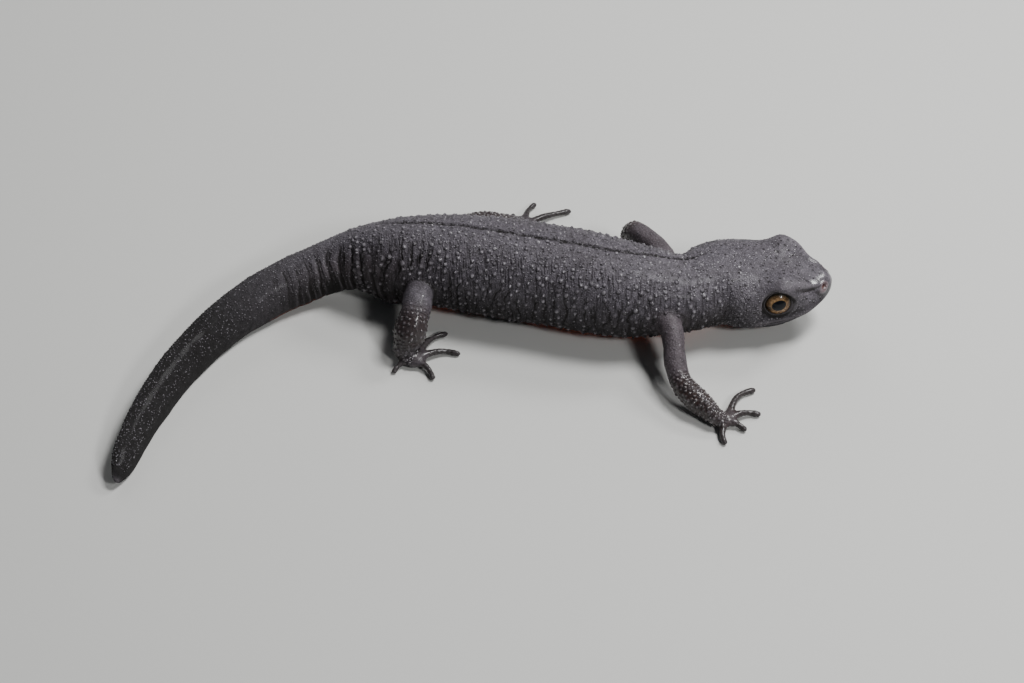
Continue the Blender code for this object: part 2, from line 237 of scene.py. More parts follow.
# %% Sections and swellings
SECTIONS = {  # distance from the snout, half width, height, depth, squareness, lean in degrees
    "snout": (0.0, 2.4, 2.2, 1.65, 2.0, 0),
    "nostrils": (1.4, 3.2, 2.3, 1.8, 2.5, 0),
    "muzzle": (3.6, 4.35, 2.8, 3.0, 2.5, 0),
    "eyes": (6.3, 5.1, 3.6, 4.05, 3.0, 0),
    "jaw_corner": (10.8, 6.0, 4.5, 4.6, 2.5, 0),
    "parotoids": (14.6, 5.5, 4.4, 4.3, 2.45, 0),
    "neck": (18.7, 4.8, 4.2, 4.5, 2.3, 0),
    "shoulders": (24.3, 5.9, 5.2, 5.4, 2.2, 1),
    "chest": (30.0, 6.5, 5.9, 5.8, 2.2, 2),
    "belly": (38.0, 6.5, 6.1, 5.9, 2.2, 3),
    "loin": (49.0, 6.1, 6.0, 5.7, 2.2, 8),
    "hips": (56.0, 5.1, 5.4, 5.2, 2.2, 12),
    "vent": (60.0, 4.2, 4.7, 4.5, 2.1, 16),
    "tail_root": (64.5, 3.1, 3.8, 3.6, 2.0, 22),
    "tail_base": (72.0, 2.6, 3.45, 3.25, 2.0, 30),
    "tail_middle": (85.0, 1.85, 2.9, 2.75, 1.9, 38),
    "tail_blade": (97.0, 1.3, 2.55, 2.35, 1.8, 44),
    "tail_taper": (104.0, 1.0, 2.2, 1.9, 1.8, 46),
    "tail_tip": (110.5, 0.8, 1.7, 1.2, 1.8, 48),
}
SECTION_TABLE = np.array(list(SECTIONS.values()), float)
SNOUT_ROUND = 3.75
TAIL_ROUND = 4.5
SWELLINGS = {  # distance, direction in degrees, half length, half spread in degrees, height
    "left_brow": (6.2, 49, 2.0, 22, 1.4),
    "right_brow": (6.2, 131, 2.0, 22, 1.4),
    "left_parotoid": (14.4, 30, 2.8, 26, 0.35),
    "right_parotoid": (14.4, 150, 2.8, 26, 0.35),
    "vent": (57.8, 262, 2.8, 42, 1.0),
}


def spine_frame(distance):
    """The spine's point and its directions to the left and up.

    Forward is the line's own slope, left is level and square to it, and both left and up are then
    turned about forward by the lean. At the nape the slope is taken over a longer step, or the skin
    inside the bend of the neck would fold over itself.
    """
    step = 0.05 + 1.6 * bell(distance - 15.0, 4.0)
    point = through(SPINE_KNOTS, SPINE_POINTS, distance)
    ahead = through(SPINE_KNOTS, SPINE_POINTS, np.clip(distance - step, 0, None))
    behind = through(SPINE_KNOTS, SPINE_POINTS, np.clip(distance + step, None, BODY_LENGTH))
    forward = unit(ahead - behind)
    left = unit(np.cross([0.0, 0.0, 1.0], forward))
    up = np.cross(forward, left)
    lean = np.radians(through(SECTION_TABLE[:, 0], SECTION_TABLE[:, 5], distance))[:, None]
    return point, left * np.cos(lean) - up * np.sin(lean), up * np.cos(lean) + left * np.sin(lean)


def end_rounding(distance):
    """1 along the body, falling to 0 at the snout and the tail's tip as an ellipse does."""
    from_snout = 1 - np.clip(distance / SNOUT_ROUND, 0, 1)
    from_tip = 1 - np.clip((BODY_LENGTH - distance) / TAIL_ROUND, 0, 1)
    return np.sqrt(np.clip((1 - from_snout**2) * (1 - from_tip**2), 0, 1))


def around(turn, degrees):
    """How many degrees each turn round the body lies past a direction, from -180 to 180."""
    return (np.degrees(turn) - degrees + 180) % 360 - 180


def body_surface(distance, turn):
    """Points for every distance from the snout (rows) and turn round the body (columns).

    Turns may also be given as a column, one for each distance. A superellipse of squareness n
    reaches (|cos|^n + |sin|^n)^(-1/n) in each direction. That is stretched by the width and by
    the height or depth, and swellings push it out as bells.
    """
    point, left, up = spine_frame(distance)
    row = through(SECTION_TABLE[:, 0], SECTION_TABLE[:, 1:5], distance)
    width, height, depth, square = row.T[:, :, None]
    turn = np.atleast_2d(turn)
    across, rise = np.cos(turn), np.sin(turn)
    reach = (np.abs(across) ** square + np.abs(rise) ** square) ** (-1 / square)
    out = np.zeros_like(reach)
    for place, degrees, length, spread, size in SWELLINGS.values():
        out += size * bell(distance - place, length)[:, None] * bell(around(turn, degrees), spread)
    rounding = end_rounding(distance)[:, None]
    sideways = (width * rounding + out) * across * reach
    upwards = (np.where(rise > 0, height, depth) * rounding + out) * rise * reach
    return point[:, None] + left[:, None] * sideways[..., None] + up[:, None] * upwards[..., None]


# %% [markdown]
# ## Where the grid is fine
# A grid over the whole animal has to be fine at the eyes, nostrils and lips, and may be coarse on
# the tail. Spacing is written as a table, and rows are dealt out so that equal shares of
# 1 / spacing lie between them. The same trick crowds the columns at eye and lip height.

# %% Rows and columns of the grid
ROW_SPACING = {  # distance from the snout: millimetres between rows
    0.0: 0.012, 0.3: 0.05, 1.2: 0.12, 3.6: 0.13, 4.6: 0.115, 9.6: 0.115, 11.0: 0.18, 17.0: 0.25,
    22.0: 0.36, 58.0: 0.36, 61.0: 0.26, 73.0: 0.27, 80.0: 0.5, 105.0: 0.55, 109.6: 0.2, 110.9: 0.02,
}
COLUMNS = 160
CROWDED = ((14, 20), (166, 20), (-26, 9), (206, 9), (90, 6))  # degrees round the body, width


def dealt(places, spacing, count=None):
    """Places whose gaps follow a spacing: equal steps of the running sum of 1 / spacing."""
    fine = np.linspace(places[0], places[-1], 8001)
    share = 1 / np.interp(fine, places, spacing)
    total = np.concatenate([[0.0], np.cumsum((share[1:] + share[:-1]) / 2 * np.diff(fine))])
    count = count or math.ceil(total[-1]) + 1
    return np.interp(np.linspace(0, total[-1], count), total, fine)


row_marks = np.array(list(ROW_SPACING)) * BODY_LENGTH / max(ROW_SPACING)
rows = dealt(row_marks, list(ROW_SPACING.values()))
turn_places = np.radians(np.linspace(-90, 270, 721))
crowding = sum(bell(around(turn_places, degrees), width) for degrees, width in CROWDED)
turns = dealt(turn_places, 1 / (1 + 1.1 * crowding), COLUMNS + 1)[:-1]
print("grid of", len(rows), "rows and", len(turns), "columns")

# %% [markdown]
# ## Noise that is the same each time
# Skin is never quite even. Smooth noise gives each corner of an invisible lattice a number, mixed
# from its whole coordinates, and blends the eight corners around a point. It needs no random
# generator, so the same newt comes out each time.

# %% Lattice noise
AXIS_MIXERS = (73856093, 19349663, 83492791)  # large odd numbers that scatter the cells
SEED_MIXER, FIRST_MIXER, SECOND_MIXER = 40503, 1274126177, 2246822519


def noise(points, size, seed=0):
    """Smooth noise from -1 to 1 with lumps of a size: the eight corners' numbers, blended."""
    scaled = points / size
    base = np.floor(scaled).astype(np.int64)
    blend = scaled - base
    blend = blend * blend * (3 - 2 * blend)
    total = np.zeros(points.shape[:-1])
    for corner in np.ndindex(2, 2, 2):
        mixed = np.bitwise_xor.reduce((base + np.array(corner)) * AXIS_MIXERS, axis=-1)
        mixed = (mixed ^ (seed * SEED_MIXER) ^ (mixed >> 11)) * FIRST_MIXER & 0xFFFFFFFF
        mixed = (mixed ^ (mixed >> 15)) * SECOND_MIXER & 0xFFFFFFFF
        value = ((mixed >> 9) & 0xFFFF) / 32767.5 - 1
        total += value * np.prod(np.where(corner, blend, 1 - blend), axis=-1)
    return total


print("noise at one point:", noise(np.array([[1.5, 2.5, 3.5]]), 1.0).round(3))

# %% [markdown]
# ## Normals of a grid
# Folds and lips are pushed in or out along the surface's own direction. On a grid this is the
# cross product of the step to the next row and the step to the next column.

# %% Grid normals
def grid_normals(grid):
    """The outward direction at each point: along-step cross round-step, made unit length."""
    row_step = np.gradient(grid, axis=0)
    round_step = np.roll(grid, -1, axis=1) - np.roll(grid, 1, axis=1)
    found = unit(np.cross(row_step, round_step))
    found[0] = unit(grid[0, :1] - grid[2].mean(axis=0))
    found[-1] = unit(grid[-1, :1] - grid[-3].mean(axis=0))
    return found


body = body_surface(rows, turns)
normals = grid_normals(body)
along = rows[:, None] + 0 * turns[None, :]  # each grid point's distance from the snout
side = np.where(np.cos(turns) > 0, 1, -1)[None, :] + 0 * along  # 1 on the left, -1 on the right
from_top = around(turns, 90)[None, :] + 0 * along  # degrees, with a sign
from_below = around(turns, 270)[None, :] + 0 * along
off_top, off_belly = np.abs(from_top), np.abs(from_below)
print("the bare form rises from", body[..., 2].min().round(2), "to", body[..., 2].max().round(2))

# %% [markdown]
# ## The face
# The upper lip overhangs the lower jaw, and a ridge runs from each nostril back to the eye with a
# shallow hollow below it. All of these are gentle pushes along the normal. The mouth's line is
# the one from the solids, so that the groove falls on the joint between head and jaw. Behind each
# nostril the snout is nearly flat: there the skin is eased towards a plane, and it stays wet.

# %% Lips, ridges and the flats of the snout
MOUTH_LINE = ((-1.0, 4.9), (1.2, 4.7), (4.2, 3.9), (8.0, 3.4), (10.6, 3.1))  # distance, height
MOUTH_CORNER = 10.6
RIDGE = (  # distance from the snout, degrees off the top
    (0.8, 60), (1.6, 54), (2.2, 49.7), (2.8, 47.5), (3.6, 46.3), (6.4, 46.5),
)
FLAT_PLACE = (1.7, 39)  # distance from the snout, degrees off the top
FLAT_FACING = (0.615, 0.174, 0.768)  # its outward direction: forward, sideways and up
FLAT_SIZE = (1.15, 0.50)  # half length, half width
FLATNESS = {1: 0.15, -1: 0.65}  # how far the left and the right side are eased to the plane

above_mouth = body[..., 2] - through(*np.array(MOUTH_LINE).T, rows)[:, None]
in_mouth = 1 - ramp(along, MOUTH_CORNER - 1.6, MOUTH_CORNER + 0.5)
groove = -0.42 * bell(above_mouth, 0.16)
upper_lip = 0.20 * bell(above_mouth - 0.60, 0.40)
over_lip = -0.03 * bell(above_mouth - 1.45, 0.40) * ramp(along, 3.0, 5.0)
jaw_set_back = -0.12 * ramp(-above_mouth, 0.1, 0.5) * ramp(above_mouth, -2.2, -1.2)
push = (groove + upper_lip + over_lip + jaw_set_back) * in_mouth

off_ridge = off_top - through(*np.array(RIDGE, float).T, rows)[:, None]
ridge_zone = window(along, 0.9, 1.8, 4.8, 6.2)
push += 0.28 * bell(off_ridge + 9, 8) * ridge_zone
push += 0.28 * bell(off_top - 42, 15) * bell(along - 4.3, 1.1)  # where it meets the brow
push -= 0.17 * bell(off_ridge - 1.5, 3.5) * bell(along - 3.2, 2.0) * ramp(along, 0.8, 1.8)
push -= 0.08 * bell(from_top, 26) * bell(along - 3.4, 2.0)  # a dip between the two ridges
body = body + normals * push[..., None]

middle, left, up = spine_frame(np.array([FLAT_PLACE[0]]))
flat_share = np.zeros_like(along)
for sign, flatness in FLATNESS.items():
    nearest = (along - FLAT_PLACE[0]) ** 2 + ((off_top - FLAT_PLACE[1]) / 12) ** 2
    nearest += 99 * (side != sign)
    sideways = left[0] * sign
    facing = unit(np.array(FLAT_FACING) @ np.array([np.cross(left[0], up[0]), sideways, up[0]]))
    offset = body - body.reshape(-1, 3)[nearest.argmin()]
    depth = offset @ facing
    lengthways = unit(np.cross(sideways, facing))
    length, width = offset @ lengthways, offset @ np.cross(facing, lengthways)
    reach = np.hypot(length / FLAT_SIZE[0], width / FLAT_SIZE[1])
    near = ramp((body - middle[0]) @ sideways, -0.5, 0.5) * (along < 5)
    near = near * (1 - ramp(-depth, 1.1, 1.8))
    body = body - facing * (flatness * (1 - ramp(reach, 0.4, 1.9)) * near * depth)[..., None]
    wet_here = flatness / max(FLATNESS.values()) * (1 - ramp(reach, 0.8, 1.3)) * near
    flat_share = np.maximum(flat_share, wet_here)
print("pushes on the face, mm:", push.min().round(2), "to", push.max().round(2))

# %% [markdown]
# ## Eye sockets
# A newt's eye is a ball held by two narrow lids. Around it the skin sinks to the edge of the lids.
# Here each point of the head near an eye is read in the eye's own directions: forward, up and
# out. The almond of the opening is a superellipse in the first two, and the skin's height along
# the third is eased to the rim, or inside the almond to a place hidden within the ball.

# %% Sockets
EYE_DISTANCE = 7.3
EYE_OFFSET = (3.6, 1.25)
EYE_RADIUS = 2.15
OPENING = (1.68, 1.70)  # half length and half height of the gap between the lids
OPENING_SHAPE = 1.85  # under 2 draws the corners to a point
OPENING_TILT = 20.0
EYE_ELEVATION = 3.5
EYE_TOE_IN = 4.0
SUNK_INSIDE = 0.45  # how deep the skin lies under the ball's surface, inside the almond


def eye_frame(side_sign):
    """An eye's middle and its directions forward, up and out, for side 1 left and -1 right."""
    point, left, up = spine_frame(np.array([EYE_DISTANCE]))
    point, left, up = point[0], left[0], up[0]
    forward = np.cross(left, up)
    centre = point + left * EYE_OFFSET[0] * side_sign + up * EYE_OFFSET[1]
    rise, toe = math.radians(EYE_ELEVATION), math.radians(EYE_TOE_IN)
    flat = left * side_sign * math.cos(toe) + forward * math.sin(toe)
    out = flat * math.cos(rise) + up * math.sin(rise)
    level = unit(forward - out * (forward @ out))
    upward = np.cross(level, out) * side_sign
    cosine, sine = math.cos(math.radians(OPENING_TILT)), math.sin(math.radians(OPENING_TILT))
    return centre, level * cosine + upward * sine, upward * cosine - level * sine, out


def almond(forward, upward):
    """1 on the lids' edge, less inside: (|x / a|^n + |y / b|^n)^(1 / n)."""
    x = np.abs(forward) / OPENING[0]
    y = np.abs(upward) / OPENING[1]
    return (x**OPENING_SHAPE + y**OPENING_SHAPE) ** (1 / OPENING_SHAPE)


eye_share, painted_shade_at_eyes = np.zeros_like(along), np.zeros_like(along)
for sign in (1, -1):
    centre, ahead, upward, out = eye_frame(sign)
    offset = body - centre
    x, y, height = offset @ ahead, offset @ upward, offset @ out
    ring = almond(x, y)
    near = (height > -0.6) & (side == sign)
    rim_radius = np.hypot(x, y) / np.maximum(ring, 0.01)
    rim = np.sqrt(np.clip((EYE_RADIUS + 0.06) ** 2 - rim_radius**2, 0.05, None))
    inside = np.sqrt(np.clip(EYE_RADIUS**2 - x**2 - y**2, 0.04, None)) - SUNK_INSIDE
    target = inside + (rim - inside) * ramp(ring, 0.86, 1.04)
    below_eye = ramp(-y, -0.4, 1.0)
    share = (1 - ramp(ring, 1.10, 1.42 + 0.30 * below_eye)) * near
    body = body + out * (share * (target - height))[..., None]
    eye_share = np.maximum(eye_share, (1 - ramp(ring, 1.1, 1.4)) * near)
    # painted shade round the opening and in the eye's back and front corners
    back_corner = bell(x + 1.95, 0.5) * bell(y + 0.35, 0.45)
    front_corner = bell(x - 2.05, 0.28) * bell(y + 0.1, 0.75)
    shadow = np.maximum(1 - ramp(ring, 1.14, 1.46), np.clip(back_corner + front_corner, 0, 1))
    painted_shade_at_eyes = np.maximum(painted_shade_at_eyes, shadow * near)
print("points moved round the eyes:", int((eye_share > 0).sum()))

# %% [markdown]
# ## Nostrils
# The nostrils sit on the front corners of the snout as small oval pits with a swollen rim. A pit
# is a bell pushed inwards, and the rim a thin ring of bells pushed out around it.

# %% Nostrils
NOSTRIL_DISTANCE = 0.85  # from the snout's tip
NOSTRIL_TURNS = {1: 24.0, -1: 156.0}  # degrees round the body, on the left and the right
NOSTRIL_SIZE = (0.50, 0.36)  # half length, half height
normals = grid_normals(body)
nostril_share, nostril_rim = np.zeros_like(along), np.zeros_like(along)
_, _, up = spine_frame(np.array([NOSTRIL_DISTANCE]))
for sign, degrees in NOSTRIL_TURNS.items():
    place = body_surface(np.array([NOSTRIL_DISTANCE]), np.radians([degrees]))[0, 0]
    offset = body - place
    outward = normals.reshape(-1, 3)[np.linalg.norm(offset, axis=-1).argmin()]
    sideways = unit(np.cross(up[0], outward))
    length, height = offset @ sideways, offset @ np.cross(outward, sideways)
    reach = np.hypot(length / NOSTRIL_SIZE[0], height / NOSTRIL_SIZE[1])
    near = (along < 3.5) & (side == sign)
    push = near * (-0.45 * bell(reach, 0.75) + 0.10 * bell(reach - 1.35, 0.40))
    body = body + normals * push[..., None]
    nostril_share = np.maximum(nostril_share, near * bell(reach, 0.85))
    nostril_rim = np.maximum(nostril_rim, near * bell(reach - 1.25, 0.40))
print("nostril points:", int((nostril_share > 0.3).sum()))

# %% [markdown]
# ## Folds of the neck, back, flanks and tail
# Where a soft animal bends, its skin folds. Each fold is a valley repeated along the body: half a
# cosine raised to a power, so that the ridges are broad and the valleys narrow. Noise bends the
# valleys and lets them come and go. The line down the back is a narrow furrow with a row of pits.

# %% Folds
FURROW = (  # distance from the snout, degrees off the top
    (16.0, -20), (19.5, -25), (22.5, -17), (27.5, -6), (35.5, 0), (60.0, 0),
)
PIT_SPACING, FLANK_SPACING, NECK_SPACING = 0.95, 1.30, 1.25  # from one valley to the next
TAIL_CREASES = ((48.0, 57.0, 80.0), (0.0, 8.0, 21.5))  # distance, and creases passed so far


def valleys(phase, sharpness):
    """1 in the valleys and 0 on the ridges of a cosine wave, narrower for a higher sharpness."""
    return (0.5 + 0.5 * np.cos(2 * math.pi * phase)) ** sharpness


def come_and_go(level, strength, size, seed):
    """Noise about a level, kept from 0 to 1, that lets folds fade out and return."""
    return np.clip(level + strength * noise(body, size, seed), 0, 1)


normals = grid_normals(body)
head_share = 1 - ramp(along, 11.0, 17.0)
lips = bell(above_mouth, 0.9) * in_mouth
face_guard = 1 - np.maximum(np.maximum(eye_share, flat_share), lips)
tip_guard = window(along, 0.0, 1.5, BODY_LENGTH - 3.0, BODY_LENGTH)

off_furrow = from_top - through(*np.array(FURROW, float).T, rows)[:, None]
furrow_zone = window(along, 14.5, 18.0, 55.0, 60.0)
spine_gap = np.linalg.norm(body - spine_frame(rows)[0][:, None], axis=-1)
furrow_gap = np.where(np.abs(off_furrow) < 60, np.radians(off_furrow) * spine_gap, 3.0)
pits = valleys(along / PIT_SPACING + 0.45 * noise(body, 2.0, 3), 2)
pits *= ramp(noise(body, 1.3, 12), -0.6, 0.1)
push = -(0.10 + 0.14 * pits) * bell(furrow_gap, 0.26) * furrow_zone
push += 0.05 * bell(np.abs(furrow_gap) - 0.6, 0.35) * furrow_zone  # its raised edges

flank_phase = along / FLANK_SPACING + 0.55 * noise(body, 2.3, 1) + 0.18 * noise(body, 0.9, 13)
flank_depth = window(along, 17.0, 22.0, 49.0, 51.0) * window(off_top, 48, 84, 145, 160)
flank_depth *= come_and_go(0.75, 1.2, 1.5, 4)
push -= 0.07 * valleys(flank_phase, 3) * flank_depth

tail_phase = np.interp(along, *TAIL_CREASES) - 0.5 * ramp(off_top, 30, 120)
tail_phase += 0.40 * noise(body, 2.4, 5)
tail_depth = window(along, 49.0, 53.5, 69.0, 77.0) * ramp(off_top, 24, 60)
tail_depth *= (1 - bell(from_below, 14)) * come_and_go(0.85, 1.0, 1.9, 6)
push -= 0.20 * valleys(tail_phase, 5) * tail_depth

neck_phase = along / NECK_SPACING + 0.80 * noise(body, 1.9, 7)
neck_depth = bell(along - 17.6, 2.2) * ramp(off_top, 60, 110) * come_and_go(0.25, 1.4, 1.0, 14)
push -= 0.04 * valleys(neck_phase, 3) * neck_depth
throat_fold = bell(along - 13.9 - 0.8 * bell(from_below, 40), 0.42) * ramp(off_top, 112, 135)
push -= 0.30 * throat_fold

lumps = 0.07 * noise(body, 2.7, 8) + 0.035 * noise(body, 1.1, 9)
push += (1 - 0.5 * head_share) * lumps
body = body + normals * (push * face_guard * tip_guard)[..., None]
body[..., 2] = np.maximum(body[..., 2], 0.0)
print("folds reach from", push.min().round(2), "to", push.max().round(2), "mm")

# %% [markdown]
# Shade is painted into the valleys of the creases too, so each place keeps one phase and one depth:
# those of the neck in front, the flank in the middle and the tail behind, with nothing where they
# change over.

# %% Phase and depth of the creases
in_tail, in_neck = ramp(along, 50.0, 51.0), 1 - ramp(along, 19.5, 20.5)
in_flank = (1 - in_neck) * (1 - in_tail)
crease_phase = neck_phase * in_neck + tail_phase * in_tail + flank_phase * in_flank
crease_depth = np.maximum(0.9 * flank_depth * in_flank, tail_depth * in_tail)
crease_depth = np.maximum(crease_depth, 0.6 * neck_depth * in_neck)
crease_depth *= 1 - bell(along - 50.5, 0.9) - bell(along - 20.0, 0.9)
print("deepest crease share:", crease_depth.max().round(2))

# %% [markdown]
# ## From a grid to a closed mesh
# The first and last row of a grid shrink to one point each, a pole, so that the mesh is closed.
# The order of each face's corners makes its outer side face out. What is known about each point,
# such as how wet it is, travels with the mesh as named attributes.

# %% Closed meshes
def closed_mesh(name, grid, fields):
    """A mesh from a grid that closes round and ends in poles, with one attribute for each field."""
    count, columns = grid.shape[:2]

    def flat(values):
        """All inner rows one after another, between the two poles' averages."""
        values = values.reshape(count, columns, -1)
        poles = values[[0, -1]].mean(axis=1)
        inner = values[1:-1].reshape((count - 2) * columns, -1)
        return np.concatenate([poles[:1], inner, poles[1:]])

    index = 1 + np.arange((count - 2) * columns).reshape(count - 2, columns)
    turned = np.roll(index, -1, axis=1)
    quads = np.stack([index[:-1], index[1:], turned[1:], turned[:-1]], axis=-1).reshape(-1, 4)
    first = np.stack([0 * index[0], index[0], turned[0]], axis=-1)
    last = np.stack([0 * index[0] + index[-1, -1] + 1, turned[-1], index[-1]], axis=-1)
    mesh = bpy.data.meshes.new(name)
    mesh.from_pydata(flat(grid), [], quads.tolist() + first.tolist() + last.tolist())
    for field, values in fields.items():
        made = mesh.attributes.new(field, "FLOAT", "POINT")
        made.data.foreach_set("value", flat(np.broadcast_to(values, grid.shape[:2])).ravel())
    return mesh


def points_of(mesh):
    """The mesh's points as an array with one row each."""
    found = np.empty(len(mesh.vertices) * 3)
    mesh.vertices.foreach_get("co", found)
    return found.reshape(-1, 3)


def field_of(mesh, name):
    """One attribute's value at each point."""
    found = np.empty(len(mesh.vertices))
    mesh.attributes[name].data.foreach_get("value", found)
    return found


def set_field(mesh, name, values):
    """Writes one attribute's value at each point, making the attribute if it is new."""
    made = mesh.attributes.get(name) or mesh.attributes.new(name, "FLOAT", "POINT")
    made.data.foreach_set("value", np.asarray(values, float).ravel())


# %% [markdown]
# ## What colours and gloss depend on
# A few numbers are kept for each point of the skin: how red the belly is there, how brown, how
# dark, how wet, how many pores and fine wrinkles it has, how deep it lies in a pit, and where it
# lies between one crease and the next. The materials read them, so that the pattern follows the
# body. A mesh that is made later fills in the fields that it doesn't name.

# %% Fields of the body
PLAIN_FIELDS = {
    "belly": 0.0, "warm": 0.0, "dark": 0.0, "wet": 0.0, "pores": 0.0, "pit": 0.0, "furrow": 3.0,
    "furrow_depth": 0.0, "nostril": 0.0, "rim": 0.0, "crease": 0.0, "crease_depth": 0.0,
    "wrinkle": 0.0, "limb": 0.0,
}
FIELDS = tuple(PLAIN_FIELDS)

belly_edge = 27 + 6 * noise(body, 3.0, 11)
trunk_belly = (1 - ramp(off_belly, belly_edge, belly_edge + 8)) * window(along, 15, 18, 58, 61)
throat_belly = (1 - ramp(off_belly, 18, 28)) * window(along, 6, 8, 16, 18)
tail_edge = (1 - ramp(np.abs(from_below + 16), 14, 22)) * window(along, 60.5, 63, 78, 85)
warm_shoulder = 0.30 * bell(along - 22.0, 5.0) * ramp(off_top, 70, 110)
warm_hip = 0.35 * bell(along - 63.0, 9.0) * ramp(off_top, 40, 90)
dark_tail = 0.97 * ramp(along, 57.0, 88.0)
# painted shade: the lower sides are darkened where shade falls
painted_shade_on_sides = 0.82 * ramp(off_top, 62, 118) * (1 - ramp(along, 66, 78))
light_cheek = 0.20 * (1 - ramp(along, 9.0, 15.0)) * ramp(off_top, 50, 80)
wet_snout = np.maximum(0.7 * (1 - ramp(along, 0.9, 1.8)), flat_share)
back_pores = 0.75 * (1 - ramp(off_top, 40, 85)) * (1 - ramp(along, 58.0, 63.0))
pores = np.maximum(1 - ramp(along, 15.0, 20.0), back_pores)
# painted shade in the mouth's groove and under the ridges from nostril to eye
in_lips = 0.9 * bell(above_mouth, 0.17) * in_mouth
under_ridge = 0.8 * bell(off_ridge, 2.6) * ridge_zone
body_fields = PLAIN_FIELDS | {
    "known": 1.0,
    "belly": np.maximum(np.maximum(trunk_belly, throat_belly), 0.52 * tail_edge),
    "warm": warm_shoulder + warm_hip,
    # the tail's own black, with painted shade on the lower sides and round the eyes
    "dark": np.clip(dark_tail + painted_shade_on_sides + painted_shade_at_eyes - light_cheek, 0, 1),
    "wet": np.clip(wet_snout * (1 - nostril_share) + 0.15 * eye_share, 0, 1),
    "pores": pores * (1 - np.maximum(wet_snout, eye_share)),
    # pit: painted shade in the mouth's groove, the throat fold, under the ridges and round the eyes
    "pit": np.clip(in_lips + 0.4 * throat_fold + under_ridge + 0.7 * painted_shade_at_eyes, 0, 1),
    "furrow": furrow_gap,
    "furrow_depth": furrow_zone,
    "nostril": nostril_share,
    "rim": nostril_rim,
    "crease": crease_phase,
    "crease_depth": np.clip(crease_depth, 0, 1),
    "wrinkle": window(along, 12.0, 18.0, 56.0, 64.0) * ramp(off_top, 8, 40),
}
body_mesh = closed_mesh("body", body, body_fields)
print("body:", len(body_mesh.polygons), "faces")

# %% [markdown]
# ## Limbs
# Each limb is carried along a path from inside the body over its joints. Radii come from a short
# table, with a little more flesh between the joints. A palm is a flattened ball, and toes are
# thin tapering tubes with a knob at the end.

# %% Limb sizes
LIMBS = {  # path over the joints, palm, and each toe's tip and its bend to the left on the way
    "right_arm": {
        "path": ((18.6, 0.4, 6.3), (20.0, -3.6, 5.8), (21.1, -9.9, 2.9), (25.4, -14.7, 1.35)),
        "palm": (26.6, -14.4),
        "toes": ((30.7, -9.0, 1.0), (31.0, -13.3, 0.5), (29.0, -15.9, 0.1), (26.4, -18.2, -0.4)),
    },
    "left_arm": {
        "path": ((20.0, 5.4, 6.6), (19.1, 9.0, 7.2), (15.9, 13.6, 6.6), (16.2, 15.9, 1.4)),
        "palm": (16.9, 16.5),
        "toes": ((20.5, 15.2, 0.3), (19.9, 17.3, 0.1), (18.0, 19.4, -0.3), (15.6, 20.2, -0.3)),
    },
    "right_leg": {
        "path": ((-11.0, 7.2, 5.6), (-11.7, 3.7, 6.1), (-12.4, -0.7, 5.2), (-13.7, -3.0, 1.7)),
        "palm": (-12.4, -3.8),
        "toes": (
            (-10.9, -0.1, 0.1), (-8.3, 1.1, 0.7), (-6.6, -2.7, 0.7), (-10.0, -7.1, 0.4),
            (-15.0, -5.9, -0.4),
        ),
    },
    "left_leg": {
        "path": ((-13.4, 11.4, 5.0), (-11.0, 14.0, 5.0), (-6.4, 16.6, 4.2), (-0.4, 20.2, 1.6)),
        "palm": (1.5, 21.2),
        "toes": (
            (5.6, 18.3, -0.3), (8.1, 20.2, -0.2), (7.9, 24.4, 0.2), (3.2, 25.8, 0.4),
            (0.1, 23.6, 0.2),
        ),
    },
}
GIRTHS = {"arm": (2.4, 1.56, 1.36, 1.08), "leg": (2.5, 1.9, 1.85, 1.45)}
PALMS = {"arm": (1.4, 1.2, 0.75), "leg": (1.6, 1.5, 0.85)}
TOE_RADII = {"arm": (0.56, 0.46), "leg": (0.54, 0.44)}
FULLNESS = (0.05, 0.25)  # how much fuller the upper and the lower length is midway
BEND_LATE = 1.5  # above 1, a toe bends most beyond its middle
KNUCKLE_LIFT = 0.45
SOLE_FLAT = 0.08
TOE_FLAT = 0.06
LIMB_VOXEL = 0.21


def limb_lines(name):
    """A limb's path over its joints, its distances there, its palm's middle and toe lines."""
    limb, kind = LIMBS[name], name.split("_")[1]
    joints = np.array(limb["path"]) - MIDDLE_SHIFT
    knots = run_lengths(joints)
    palm = np.array([*limb["palm"], PALMS[kind][2] - SOLE_FLAT]) - MIDDLE_SHIFT
    toes = []
    for x, y, bend in limb["toes"]:
        step = np.array([x, y, TOE_RADII[kind][1] - TOE_FLAT]) - MIDDLE_SHIFT - palm
        leftwards = np.array([-step[1], step[0], 0.0]) / math.hypot(step[0], step[1])
        share = np.linspace(0, 1, 26)[:, None]
        line = palm + step * share + leftwards * bend * np.sin(math.pi * share**BEND_LATE)
        line[:, 2:] += KNUCKLE_LIFT * np.sin(math.pi * share) * (1 - share)
        toes.append(line)
    return joints, knots, palm, toes


print("limbs:", {name: round(limb_lines(name)[1][-1], 1) for name in LIMBS}, "mm long")

# %% [markdown]
# ## Tubes and balls
# Limbs, toes and palms start as closed grids of two kinds: circles carried along a line, and
# circles stacked from pole to pole. The eyes are balls too, so one function serves both.

# %% Tubes and balls
DOME_STEPS = 5  # rings in the round end of a tube


def square_to(headings):
    """Two directions square to each heading and to each other."""
    first = unit(np.cross([0.13, 0.0, 1.0], headings))
    return first, np.cross(first, headings)


